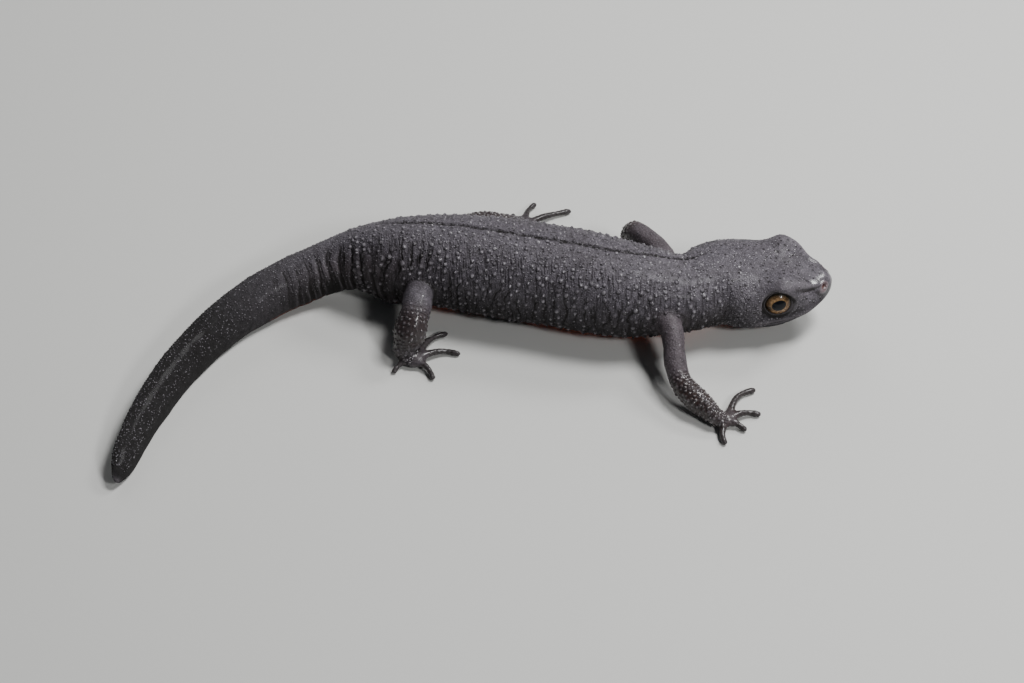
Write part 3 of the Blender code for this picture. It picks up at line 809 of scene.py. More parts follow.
def swept(line, radii, sides):
    """A round tube along a line with dome ends, as a grid whose first and last rows are poles.

    Each ring stands square to the line, and beyond both ends extra rings shrink as a ball does.
    """
    heading = unit(np.gradient(line, axis=0))
    falls = np.linspace(math.pi / 2, 0, DOME_STEPS + 1)[:-1]
    front = line[:1] - heading[:1] * radii[0] * np.sin(falls)[:, None]
    back = line[-1:] + heading[-1:] * radii[-1] * np.sin(falls[::-1])[:, None]
    centres = np.concatenate([front, line, back])
    sizes = np.concatenate([radii[0] * np.cos(falls), radii, radii[-1] * np.cos(falls[::-1])])
    first, second = square_to(np.pad(heading, ((DOME_STEPS, DOME_STEPS), (0, 0)), "edge"))
    angles = ring_angles(sides)[None, :, None]
    rings = np.cos(angles) * first[:, None] + np.sin(angles) * second[:, None]
    return centres[:, None] + rings * sizes[:, None, None]


def unit_ball(count, sides, handed):
    """Rows of fall from the pole, and a ball of radius 1: sin of the fall round, cos along."""
    fall = np.linspace(0, math.pi, count)[:, None]
    turn = -handed * ring_angles(sides)[None, :]
    x, y, z = np.sin(fall) * np.cos(turn), np.sin(fall) * np.sin(turn), np.cos(fall) + 0 * turn
    return fall, np.stack([x, y, z], axis=-1)


def flat_ball(centre, half_sizes, heading):
    """An ellipsoid as a grid: the ball stretched by three half sizes and turned to a heading."""
    x, y, z = (unit_ball(20, 28, 1)[1] * half_sizes).transpose(2, 0, 1)
    cosine, sine = math.cos(heading), math.sin(heading)
    return centre + np.stack([x * cosine - y * sine, x * sine + y * cosine, z], axis=-1)


print("a tube's grid:", swept(np.eye(3), np.ones(3), 8).shape)

# %% [markdown]
# ## From many meshes to one
# The closed grids of a limb pass through one another. A voxel remesh turns each set into one
# surface. Here a modifier works on a bench of its own, and only the mesh that it makes is kept.
# Its steps are then smoothed: each point moves a part of the way to the mean of its neighbours.

# %% Modifiers and smoothing
def joined(name, grids):
    """One mesh of several closed grids, which may pass through one another."""
    points, faces, start = [], [], 0
    for grid in grids:
        part = closed_mesh("part", grid, {})
        points.append(points_of(part))
        faces += [[start + corner for corner in face.vertices] for face in part.polygons]
        start += len(points[-1])
        bpy.data.meshes.remove(part)
    mesh = bpy.data.meshes.new(name)
    mesh.from_pydata(np.concatenate(points), [], faces)
    return mesh


def modified(mesh, kind, others=(), **settings):
    """The mesh that one modifier makes of this one, beside other meshes that it may use."""
    piece = placed("workpiece", mesh)
    tools = bpy.data.collections.new("tools")
    bpy.context.scene.collection.children.link(tools)
    for other in others:
        tools.objects.link(bpy.data.objects.new(other.name, other))
    step = piece.modifiers.new(kind.lower(), kind)
    if others:
        step.operand_type = "COLLECTION"
        step.collection = tools
    for name, value in settings.items():
        setattr(step, name, value)
    bpy.context.view_layer.update()
    depsgraph = bpy.context.evaluated_depsgraph_get()
    made = bpy.data.meshes.new_from_object(piece.evaluated_get(depsgraph))
    for used in [piece, *tools.objects]:
        bpy.data.objects.remove(used)
    bpy.data.collections.remove(tools)
    made.name = mesh.name
    return made


def neighbours(mesh):
    """Each point that has a neighbour and that neighbour: every edge, read from both ends."""
    ends = np.empty(len(mesh.edges) * 2, int)
    mesh.edges.foreach_get("vertices", ends)
    first, second = ends.reshape(-1, 2).T
    return np.concatenate([first, second]), np.concatenate([second, first])


def averaged(values, pairs):
    """The mean of each point's neighbours: their sum over their number."""
    point, neighbour = pairs
    degree = np.maximum(np.bincount(point, minlength=len(values)), 1)
    sums = [np.bincount(point, column[neighbour], len(values)) for column in values.T]
    return np.stack(sums, axis=1) / degree[:, None]


def relax(values, pairs, share, rounds):
    """Moves values in place, again and again, by a share of the way to their neighbours' mean."""
    for _ in range(rounds):
        values += share * (averaged(values, pairs) - values)


def point_normals(mesh):
    """The mesh's outward direction at each point."""
    found = np.empty(len(mesh.vertices) * 3)
    mesh.vertex_normals.foreach_get("vector", found)
    return found.reshape(-1, 3)


def along_line(points, line):
    """How far each point is from a line and how far along it the nearest place lies.

    Each point is dropped on every piece of the line, and the nearest foot is kept.
    """
    start, step = line[:-1], np.diff(line, axis=0)
    length = np.linalg.norm(step, axis=1)
    offset = points[:, None] - start[None]
    share = np.clip((offset * step).sum(-1) / length**2, 0, 1)
    gap = np.linalg.norm(offset - share[..., None] * step, axis=-1)
    best = gap.argmin(axis=1)
    each = np.arange(len(points))
    return gap[each, best], run_lengths(line)[best] + share[each, best] * length[best]


# %% [markdown]
# ## One limb
# After the remesh a point only knows where it is. Dropping it on the limb's path and on each
# toe's line tells how far down the limb it lies, and so where folds at the elbow and wrist, the
# rings of the toes and the wet brown skin of the lower limb begin.

# %% Building a limb
WARMTH = {"arm": (0.30, 0.45), "leg": (0.05, 0.50)}  # of the upper limb, and less on the foot
LOWER_DARKNESS = {"arm": 0.52, "leg": 0.55}
ELBOW_FOLDS = {"arm": 1.0, "leg": 0.5}


def limb_grids(kind, joints, knots, palm, toes, places):
    """The closed grids of one limb: its length, its wrist, its palm and its toes."""
    between = np.sin(math.pi * np.interp(places, knots, np.arange(4)))
    fuller = np.where(places < knots[2], *FULLNESS) * (places > knots[1])
    radii = through(knots, GIRTHS[kind], places) * (1 + fuller * between**2)
    wrist = np.linspace(joints[3], palm, 12)
    wrist_radii = np.linspace(GIRTHS[kind][3], PALMS[kind][2] * 0.8, 12)
    heading = math.atan2(palm[1] - joints[3, 1], palm[0] - joints[3, 0])
    grids = [
        swept(through(knots, joints, places), radii, 36),
        swept(wrist, wrist_radii, 28),
        flat_ball(palm, PALMS[kind], heading),
    ]
    thick, thin = TOE_RADII[kind]
    for line in toes:
        share = np.linspace(0, 1, len(line))
        waist, knob = 0.06 * bell(share - 0.72, 0.16), 0.05 * bell(share - 0.93, 0.07)
        toe_radii = thick + (thin - thick) * share - waist + knob
        toe_radii *= 1 - 0.25 * ramp(share, 0.93, 1.0)
        grids.append(swept(line[:-1], toe_radii[:-1], 20))
    return grids, np.concatenate([through(knots, joints, places), wrist[1:]])


def build_limb(name):
    """One limb's skin: tubes and a palm made one by voxels, smoothed, creased and laid flat."""
    kind = name.split("_")[1]
    joints, knots, palm, toes = limb_lines(name)
    middle, end = knots[2], knots[3]
    places = np.linspace(0, end, 70)
    grids, limb_path = limb_grids(kind, joints, knots, palm, toes, places)
    mesh = modified(joined(name, grids), "REMESH", mode="VOXEL", voxel_size=LIMB_VOXEL)
    points = points_of(mesh)
    relax(points, neighbours(mesh), 0.5, 8)
    mesh.vertices.foreach_set("co", points.ravel())
    mesh.update()
    down = along_line(points, limb_path)[1]
    toe_gaps, toe_downs = np.array([along_line(points, line) for line in toes]).transpose(1, 0, 2)
    nearest_toe = toe_gaps.argmin(axis=0)[None]
    toe_gap = np.take_along_axis(toe_gaps, nearest_toe, 0)[0]
    toe_down = np.take_along_axis(toe_downs, nearest_toe, 0)[0]
    on_toe = ramp(toe_down, PALMS[kind][0] * 0.9, PALMS[kind][0] * 1.3) * (toe_gap < 0.9)
    upper_half = down < 0.5 * (middle + end)
    phase = np.where(upper_half, (down - middle) / 0.5, (down - end) / 0.42)
    phase += 0.22 * noise(points, 1.0, 21)
    at_elbow = ELBOW_FOLDS[kind] * bell(down - middle, 0.7)
    at_wrist = 0.8 * bell(down - end + 0.2, 0.6) * (1 - on_toe)
    depth = np.maximum(at_elbow, at_wrist)
    push = -0.05 * valleys(phase, 3) * depth - 0.04 * valleys(toe_down / 0.62, 2) * on_toe
    push += 0.07 * noise(points, 1.6, 23) * (1 - 0.7 * on_toe)
    push += 0.03 * noise(points, 0.6, 24) * (1 - 0.6 * on_toe)
    points += point_normals(mesh) * push[:, None]
    points[:, 2] = np.maximum(points[:, 2], 0.0)
    mesh.vertices.foreach_set("co", points.ravel())
    lower = ramp(down, middle - 1.5, middle + 1.0)
    foot = np.maximum(ramp(down, end - 0.5, end + 0.9), on_toe)
    sole = 1 - ramp(points[:, 2], 0.02, 0.3)
    warmth, cooler = WARMTH[kind]
    fields = PLAIN_FIELDS | {
        "known": 1.0,
        "belly": 0.5 * sole * foot,
        "warm": warmth + 0.75 * lower - cooler * foot * (1 - on_toe),
        "dark": 0.05 + LOWER_DARKNESS[kind] * lower * (1 - 0.35 * foot) + 0.45 * on_toe,
        "wet": 0.62 * lower - 0.10 * foot,
        "crease": phase,
        "crease_depth": 0.7 * depth,
        "limb": 1.0,
    }
    for field_name, values in fields.items():
        set_field(mesh, field_name, values + np.zeros(len(points)))
    return mesh


limb_meshes = [build_limb(name) for name in LIMBS]
for mesh in limb_meshes:
    print(mesh.name, len(mesh.polygons), "faces")

# %% [markdown]
# ## Eyelids
# A newt's lids are narrow, dark rolls of skin that wrap the ball. A roll is a small ellipse
# carried round the almond, square to it and lying on the ball. The upper lid is the fuller one.

# %% Lids
LID_HALF_WIDTH = 0.17
LID_HALF_THICKNESS = 0.12
UPPER_LID_EXTRA = 0.30
LID_POINTS, LID_SIDES = 132, 14


def ring_mesh(name, grid, fields):
    """A mesh from a grid that closes both ways, like a ring."""
    count, columns = grid.shape[:2]
    index = np.arange(count * columns).reshape(count, columns)
    following, beside = np.roll(index, -1, axis=0), np.roll(index, -1, axis=1)
    quads = np.stack([index, following, np.roll(following, -1, axis=1), beside], axis=-1)
    mesh = bpy.data.meshes.new(name)
    mesh.from_pydata(grid.reshape(-1, 3), [], quads.reshape(-1, 4).tolist())
    for field, value in fields.items():
        set_field(mesh, field, np.full(count * columns, value))
    return mesh


def build_lids(name, sign):
    """A roll of skin round one eye's opening: an ellipse carried along the almond on the ball."""
    centre, ahead, upward, out = eye_frame(sign)
    angles = -sign * ring_angles(LID_POINTS)
    x, y = np.cos(angles), np.sin(angles)
    reach = 1 / almond(x, y)
    x, y = x * reach, y * reach
    outward = unit(np.stack([x / OPENING[0] ** 2, y / OPENING[1] ** 2], -1)).T
    x, y = (x, y) + outward * LID_HALF_WIDTH * 0.8
    height = np.sqrt(EYE_RADIUS**2 - x**2 - y**2)
    radial = unit(x[:, None] * ahead + y[:, None] * upward + height[:, None] * out)
    forward = unit(np.roll(radial, -1, axis=0) - np.roll(radial, 1, axis=0))
    across = np.cross(forward, radial)
    fuller = (1 + UPPER_LID_EXTRA * ramp(y, 0.2, 1.2))[:, None, None]
    turn = -ring_angles(LID_SIDES)[None, :, None]
    thickness = np.cos(turn) * radial[:, None] * LID_HALF_THICKNESS
    width = np.sin(turn) * across[:, None] * LID_HALF_WIDTH
    grid = centre + (radial * (EYE_RADIUS + 0.05))[:, None] + (thickness + width) * fuller
    lid_fields = PLAIN_FIELDS | {"known": 1.0, "warm": 0.1, "dark": 1.0, "wet": 0.2}
    return ring_mesh(name, grid, lid_fields)


def volume_of(mesh):
    """The space inside a closed mesh: the sum of pyramids from the origin to each triangle."""
    mesh.calc_loop_triangles()
    corners = np.empty(len(mesh.loop_triangles) * 3, int)
    mesh.loop_triangles.foreach_get("vertices", corners)
    a, b, c = points_of(mesh)[corners].reshape(-1, 3, 3).transpose(1, 0, 2)
    return (np.cross(a, b) * c).sum() / 6


lid_meshes = [build_lids("left_lids", 1), build_lids("right_lids", -1)]
for mesh in [body_mesh, *limb_meshes, *lid_meshes]:
    print(mesh.name, "holds", round(volume_of(mesh), 2), "cubic mm")

# %% [markdown]
# ## One skin
# A Boolean union makes one surface of the body, the limbs and the lids. It leaves a sharp crease
# where they meet, which skin does not have. Points near the crease are drawn towards the mean of
# their neighbours again and again, which fills it with a fillet. The same averaging carries
# colour and gloss across.

# %% Union and soft joins
LIMB_FILLET = 1.7  # how far from the crease the smoothing of a limb's root reaches
LID_FILLET = 0.30
EYE_REACH = 3.0  # creases nearer than this to an eye's middle are those of its lids
GROUP = 4000  # points measured at once, to spare memory


def crease_share(points, crease, reach):
    """1 on the crease, easing to 0 at a reach from it, by the distance to its nearest point."""
    share = np.zeros(len(points))
    inside = (points > crease.min(0) - reach) & (points < crease.max(0) + reach)
    near = np.flatnonzero(inside.all(axis=1))
    for group in np.array_split(near, max(1, len(near) // GROUP)):
        gap = np.sqrt(((points[group, None] - crease[None]) ** 2).sum(-1).min(axis=1))
        share[group] = 1 - ramp(gap, 0.25 * reach, reach)
    return share


tools = [*limb_meshes, *lid_meshes]
skin_mesh = modified(body_mesh, "BOOLEAN", tools, operation="UNION", solver="MANIFOLD")
skin_mesh.name = "skin"
points, pairs = points_of(skin_mesh), neighbours(skin_mesh)
fields = np.stack([field_of(skin_mesh, name) for name in FIELDS], axis=1)
new = field_of(skin_mesh, "known") < 0.5
print("after the union:", len(points), "points, of which", int(new.sum()), "are new")
for _ in range(12):
    fields[new] = averaged(fields, pairs)[new]

eye_centres = np.array([eye_frame(sign)[0] for sign in (1, -1)])
by_eye = np.linalg.norm(points[:, None] - eye_centres, axis=-1).min(axis=1) < EYE_REACH
limb_share = crease_share(points, points[new & ~by_eye], LIMB_FILLET)
lid_share = crease_share(points, points[new & by_eye], LID_FILLET)
for share, rounds in ((0.6 * limb_share, 45), (0.5 * lid_share, 6)):
    relax(points, pairs, share[:, None], rounds)
    relax(fields, pairs, share[:, None], rounds)
points[:, 2] = np.maximum(points[:, 2], 0.0)
skin_mesh.vertices.foreach_set("co", points.ravel())
skin_mesh.update()
surface_normals = point_normals(skin_mesh)
facing_down = ramp(-surface_normals[:, 2], 0.76, 0.95)
tail_share = 1 - ramp(points[:, 0], -20.0, -17.0)
fields[:, FIELDS.index("belly")] *= np.maximum(facing_down, tail_share)
fields[:, FIELDS.index("crease_depth")] *= 1 - ramp(limb_share, 0.0, 0.4)
print("points in the fillets:", int((limb_share > 0).sum()), "and", int((lid_share > 0).sum()))

# %% [markdown]
# ## Painted shade in the hollows
# Shade falls in folds, so the colour paints them darker, and ridges are drawn paler. How hollow a
# place is can be measured: it is how far the mean of a point's neighbours stands out in front of
# it, over the square of their distance, so that coarse and fine parts of the mesh agree. Three
# sizes are mixed.

# %% Hollows
HOLLOW_SIZES = {1: 0.50, 3: 0.40, 9: 0.32}  # rounds of averaging, and a usual value there

squares = ((points[pairs[0]] - points[pairs[1]]) ** 2).sum(axis=1)
edge_square = np.bincount(pairs[0], squares) / np.bincount(pairs[0])
smoothed = points.copy()
hollow = np.zeros(len(points))
for step in range(1, max(HOLLOW_SIZES) + 1):
    smoothed = averaged(smoothed, pairs)
    if step in HOLLOW_SIZES:
        standing = ((smoothed - points) * surface_normals).sum(axis=1)
        hollow += standing / (step * edge_square * HOLLOW_SIZES[step])
hollow = np.clip(hollow / 3, -1, 1)
hollow *= 1 - 0.5 * fields[:, FIELDS.index("limb")] * (hollow < 0)
fields = np.column_stack([fields, hollow])
FIELDS = (*FIELDS, "hollow")
for name, values in zip(FIELDS, fields.T):
    set_field(skin_mesh, name, values)
for name in ("tip", "granule_shadow"):
    set_field(skin_mesh, name, np.zeros(len(points)))
skin_mesh.transform(Matrix.Scale(MM, 4))
skin_mesh.shade_smooth()
skin = placed("skin", skin_mesh)
print("hollows from", hollow.min().round(2), "to", hollow.max().round(2))

# %% [markdown]
# ## Small helpers for materials
# Shader nodes are joined up by code here, so short helpers keep that readable: one adds a node
# and fills or links its inputs, one mixes colours, and some do sums. Patterns use Object
# coordinates in metres, so a pattern of a given size in millimetres has the scale 1000 / size.

# %% Node helpers
def begin(name):
    """A new material and its shader. The helpers below add to the tree that was begun last."""
    global tree
    material = bpy.data.materials.new(name)
    material.use_nodes = True
    tree = material.node_tree
    return material, tree.nodes["Principled BSDF"]


def fill(node, inputs):
    """Links or sets a node's inputs, by name or by place."""
    for key, value in inputs.items():
        if isinstance(value, bpy.types.NodeSocket):
            tree.links.new(value, node.inputs[key])
        else:
            node.inputs[key].default_value = value


def add(kind, inputs=(), output=0, **settings):
    """A new node: its settings, then its inputs. Gives one of its outputs."""
    made = tree.nodes.new(kind)
    for name, value in settings.items():
        setattr(made, name, value)
    fill(made, dict(inputs))
    return made.outputs[output]


def calc(operation, first, second=0.0, third=0.0, clamp=False):
    """One sum on two or three numbers."""
    inputs = {0: first, 1: second, 2: third}
    return add("ShaderNodeMath", inputs, operation=operation, use_clamp=clamp)


def times(*values):
    """The product of all values."""
    return functools.reduce(functools.partial(calc, "MULTIPLY"), values)


def most(*values):
    """The largest of all values."""
    return functools.reduce(functools.partial(calc, "MAXIMUM"), values)


def scaled(value, factor, start):
    """A start plus a value times a factor."""
    return calc("MULTIPLY_ADD", value, factor, start)


def between(value, low, high, start=0.0, end=1.0):
    """start at low and end at high, straight between them and level outside them."""
    return add("ShaderNodeMapRange", {0: value, 1: low, 2: high, 3: start, 4: end})


def grain(place, size, detail=2.0, rough=0.5):
    """Noise with lumps of a size in mm."""
    inputs = {"Vector": place, "Scale": 1 / (size * MM), "Detail": detail, "Roughness": rough}
    return add("ShaderNodeTexNoise", inputs)


def cells(place, size):
    """Distance to the nearest of many scattered points about a size in mm apart."""
    return add("ShaderNodeTexVoronoi", {"Vector": place, "Scale": 1 / (size * MM)})


def shifted(place, operation, vector):
    """Places moved (ADD) or stretched (MULTIPLY) by a vector."""
    return add("ShaderNodeVectorMath", {0: place, 1: vector}, operation=operation)


def field(name):
    """A number kept on the mesh."""
    return add("ShaderNodeAttribute", output=2, attribute_name=name)


def mix(share, first, second):
    """The first colour where share is 0 and the second where it is 1."""
    first, second = [(*c, 1.0) if isinstance(c, tuple) else c for c in (first, second)]
    return add("ShaderNodeMix", {0: share, 6: first, 7: second}, 2, data_type="RGBA")


def layered(colour, paints, *layers):
    """Colours laid one over another: each layer has its share and its colour or a paint's name."""
    for share, over in layers:
        colour = mix(share, colour, paints.get(over, over))
    return colour


# %% [markdown]
# ## Newt skin
# A newt's back is not black but a purplish grey, made of fine dark grain with paler specks.
# Pores and the tail are nearly black. Shade is painted nearly black into hollows, pits, creases and
# fine upright wrinkles, and painted over the lower sides and round the eyes. Lower limbs turn
# reddish brown, and the belly is red with black blotches. Granule tips are paler, partly as a
# painted highlight, and a shadow is painted at each granule's foot. The paints are named first,
# and each is then laid over the last where a field or a noise says.

# %% Skin colour
SKIN_PAINTS = {
    "dark grain": (0.050, 0.045, 0.053),
    "pale grain": (0.152, 0.138, 0.162),
    "dull patch": (0.070, 0.058, 0.064),
    "dark grit": (0.022, 0.019, 0.023),
    "pale speck": (0.36, 0.33, 0.37),
    "glint by a pore": (0.38, 0.36, 0.40),
    "wrinkle": (0.016, 0.013, 0.016),
    "warm brown": (0.062, 0.034, 0.031),
    # the tail's own black, also laid on as painted shade
    "tail black": (0.007, 0.0065, 0.006),
    "belly red": (0.60, 0.060, 0.012),
    "belly orange": (0.72, 0.13, 0.02),
    "belly blotch": (0.016, 0.013, 0.013),
    # paler granule tops, partly their own colour and partly a painted highlight
    "granule's tip": (0.29, 0.27, 0.30),
    "under a granule": (0.010, 0.008, 0.010),
    # painted shade in pits, hollows, creases and the line down the back; it also darkens the pores
    "pit": (0.008, 0.006, 0.006),
    "worn ridge": (0.20, 0.18, 0.20),
    "nostril's rim": (0.22, 0.15, 0.16),
    "nostril": (0.085, 0.020, 0.013),
}
PORE_SIZE = 0.62
PORE_LIGHT_SIDE = (0.0, -0.13 * MM, -0.16 * MM)  # the step from a pore to its glint
WRINKLE_STRETCH = (3.2, 0.55, 0.55)


def skin_patterns():
    """The noises and marks that the colour, the gloss and the relief share."""
    place = add("ShaderNodeTexCoord", output=3)
    mottle, fine = grain(place, 0.75, 3.0, 0.65), grain(place, 0.16, 2.0, 0.6)
    upright = grain(shifted(place, "MULTIPLY", WRINKLE_STRETCH), 1.0, 2.0, 0.5)
    wave = calc("COSINE", times(scaled(mottle, 0.5, field("crease")), 2 * math.pi))
    off_furrow = scaled(mottle, 0.9, scaled(fine, 0.3, field("furrow")))
    off_furrow = calc("ABSOLUTE", calc("SUBTRACT", off_furrow, 0.6))
    dashes = between(grain(place, 0.50, 1.0, 0.5), 0.40, 0.54, 0.45, 1.0)
    line = times(between(off_furrow, 0.10, 0.31, 1.0, 0.0), dashes, field("furrow_depth"))
    in_pore = between(cells(place, PORE_SIZE), 0.17, 0.29, 1.0, 0.0)
    return {
        "place": place, "mottle": mottle, "fine": fine, "line": line,
        "lumps": grain(place, 3.6, 3.0, 0.6),
        "grit": cells(place, 0.24),
        "wrinkle": times(between(upright, 0.50, 0.64), field("wrinkle")),
        "crease": times(between(wave, 0.66, 0.96), field("crease_depth")),
        "in_pore": times(in_pore, field("pores")),
    }


def skin_colour(place, mottle, fine, line, lumps, grit, wrinkle, crease, in_pore):
    """Grain, specks and painted shade in wrinkles; brown, black and red; tips, shadows, pits and
    rims.
    """
    hollow, dark, pores = field("hollow"), field("dark"), field("pores")
    level = scaled(fine, 0.45, times(mottle, 0.55))
    speck = cells(place, 0.42)
    beside = cells(shifted(place, "ADD", PORE_LIGHT_SIDE), PORE_SIZE)
    colour = layered(
        SKIN_PAINTS["dark grain"], SKIN_PAINTS,
        (between(level, 0.36, 0.62), "pale grain"),
        (between(lumps, 0.3, 0.7, 0.0, 0.30), "dull patch"),
        (between(grit, 0.30, 0.58, 0.0, 0.38), "dark grit"),
        (between(speck, 0.06, 0.20, 0.34, 0.0), "pale speck"),
        (times(between(beside, 0.08, 0.17, 0.75, 0.0), pores), "glint by a pore"),
        # painted shade in the fine upright wrinkles
        (times(wrinkle, 0.62), "wrinkle"),
        (times(field("warm"), between(mottle, 0.3, 0.6, 0.5, 1.0)), "warm brown"),
        # the tail's own black, and painted shade on the lower sides and round the eyes
        (times(dark, 0.97), "tail black"),
    )
    red = mix(between(lumps, 0.35, 0.65), SKIN_PAINTS["belly red"], SKIN_PAINTS["belly orange"])
    blotch = between(grain(place, 4.6, 2.0, 0.45), 0.50, 0.53)
    underside = mix(blotch, red, SKIN_PAINTS["belly blotch"])
    # paler granule tops, partly their own colour and partly a painted highlight
    tip_and_highlight_share = times(
        field("tip"), between(dark, 0.2, 1.0, 0.72, 0.58), between(field("limb"), 0, 1, 1, 0.55))
    # darker pores, and painted shade in pits, hollows, creases and the line down the back
    painted_shade_in_dents = most(
        times(in_pore, 0.8), field("pit"), between(hollow, 0.08, 0.8, 0.0, 0.85), crease, line)
    return layered(
        colour, SKIN_PAINTS,
        (between(scaled(fine, 0.25, field("belly")), 0.62, 0.85), underside),
        (tip_and_highlight_share, "granule's tip"),
        # painted shadow at each granule's foot
        (field("granule_shadow"), "under a granule"),
        (painted_shade_in_dents, "pit"),
        # ridges, where the hollow field is below nought, are drawn paler
        (between(hollow, -0.25, -0.9, 0.0, 0.28), "worn ridge"),
        (times(field("rim"), 0.45), "nostril's rim"),
        (field("nostril"), "nostril"),
    )


print(len(SKIN_PAINTS), "paints for the skin")

# %% [markdown]
# The skin is dull where it is dry and has a hard gloss where it is wet, so the roughness follows
# the same fields as the colour, and a clear coat adds the film of water. A bump takes the grain,
# pores, wrinkles and creases, which are too small for the mesh.

# %% Skin gloss and relief
RELIEF_DEPTH = 0.085
COAT_ROUGHNESS, SPECULAR_LEVEL = 0.14, 0.25


def newt_skin():
    """The material of the skin and its granules: fields choose among paints and glosses."""
    material, shader = begin("newt_skin")
    marks = skin_patterns()
    mottle, tip, wet = marks["mottle"], field("tip"), field("wet")
    dry = calc("SUBTRACT", 1.0, most(tip, wet), clamp=True)
    rough = scaled(wet, -0.32, between(mottle, 0.3, 0.7, 0.66, 0.48))
    rough = scaled(times(field("dark"), dry), 0.34, scaled(tip, -0.20, rough))
    relief = scaled(marks["fine"], 0.35, between(marks["grit"], 0.0, 0.55, 0.55, 0.0))
    relief = times(scaled(mottle, 0.5, relief), between(wet, 0.3, 0.9, 1.0, 0.10))
    cuts = ((marks["in_pore"], 0.9), (most(marks["crease"], marks["line"]), 1.8))
    for cut, depth in (*cuts, (marks["wrinkle"], 0.8)):
        relief = scaled(cut, -depth, relief)
    bump = {"Strength": 0.9, "Distance": RELIEF_DEPTH * MM, "Height": relief}
    fill(shader, {
        "Base Color": skin_colour(**marks),
        "Roughness": most(rough, 0.14),
        "Coat Weight": scaled(wet, 0.65, scaled(tip, 0.80, 0.03)),
        "Coat Roughness": COAT_ROUGHNESS,
        "Specular IOR Level": SPECULAR_LEVEL,
        "Normal": add("ShaderNodeBump", bump),
    })
    return material


skin_material = newt_skin()
skin_mesh.materials.clear()
skin_mesh.materials.append(skin_material)
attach(skin, "root")
flesh = [name for name in frame["nodes"] if not name.endswith("_eye")]
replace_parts(skin, *flesh)
print("skin stands for", len(flesh), "solids with", len(skin_mesh.polygons), "faces")

# %% [markdown]
# ## Granules
# The skin of the back, flanks and tail is set with hard, pale-tipped granules, in upright rows on
# the flanks. Bump alone would leave the outline smooth, so each granule is a small dome of mesh.
# They are laid out on the bare form, row by row and slightly shuffled, and dropped onto the
# finished skin, which also tells each one its fields.

# %% Where granules stand
shuffle = np.random.default_rng(7)
skin_tree = BVHTree.FromObject(skin, bpy.context.evaluated_depsgraph_get())
face_point = np.array([face.vertices[0] for face in skin_mesh.polygons])
skin_normals = point_normals(skin_mesh)


def rooted(wanted):
    """For each wanted place in mm, the skin's nearest point in mm, its normal and its fields."""
    found = [skin_tree.find_nearest(Vector(place * MM)) for place in wanted]
    corner = face_point[[hit[2] for hit in found]]
    return np.array([hit[0] for hit in found]) / MM, skin_normals[corner], fields[corner]


def kept_field(kept, name):
    """One field's column."""
    return kept[:, FIELDS.index(name)]


def staggered(marks, columns, stray):
    """Angles round each of the marks, every second ring half a step on, straying at random."""
    turn = np.tile(ring_angles(columns), len(marks))
    turn += np.repeat(np.arange(len(marks)) % 2, columns) * math.pi / columns
    return turn + shuffle.normal(0, stray * 2 * math.pi / columns, len(turn))


def out_of_creases(kept):
    """0 in the bottom of a crease and 1 beside it."""
    in_valley = valleys(kept_field(kept, "crease"), 3)
    return 1 - kept_field(kept, "crease_depth") * in_valley


print("skin read at", len(face_point), "faces")

# %% [markdown]
# A dome flares at its foot, so that it grows out of the skin. All domes of a piece are worked out
# at once, as rings round their outward lines. Some granules are paler than others, and their pale
# tops are partly a painted highlight. A shadow is painted on the skin at each one's foot, darkest
# on its lower side.

# %% Domes
DOME = ((1.30, -0.12), (0.92, 0.16), (0.60, 0.66), (0.28, 0.94))  # share of radius, of height
SHADE = (0.95, 0.80, 0.15, 0.0, 0.0)  # how much of the shadow each ring and the top take
PATCH_RADIUS = 0.0015  # of a granule on the flat map


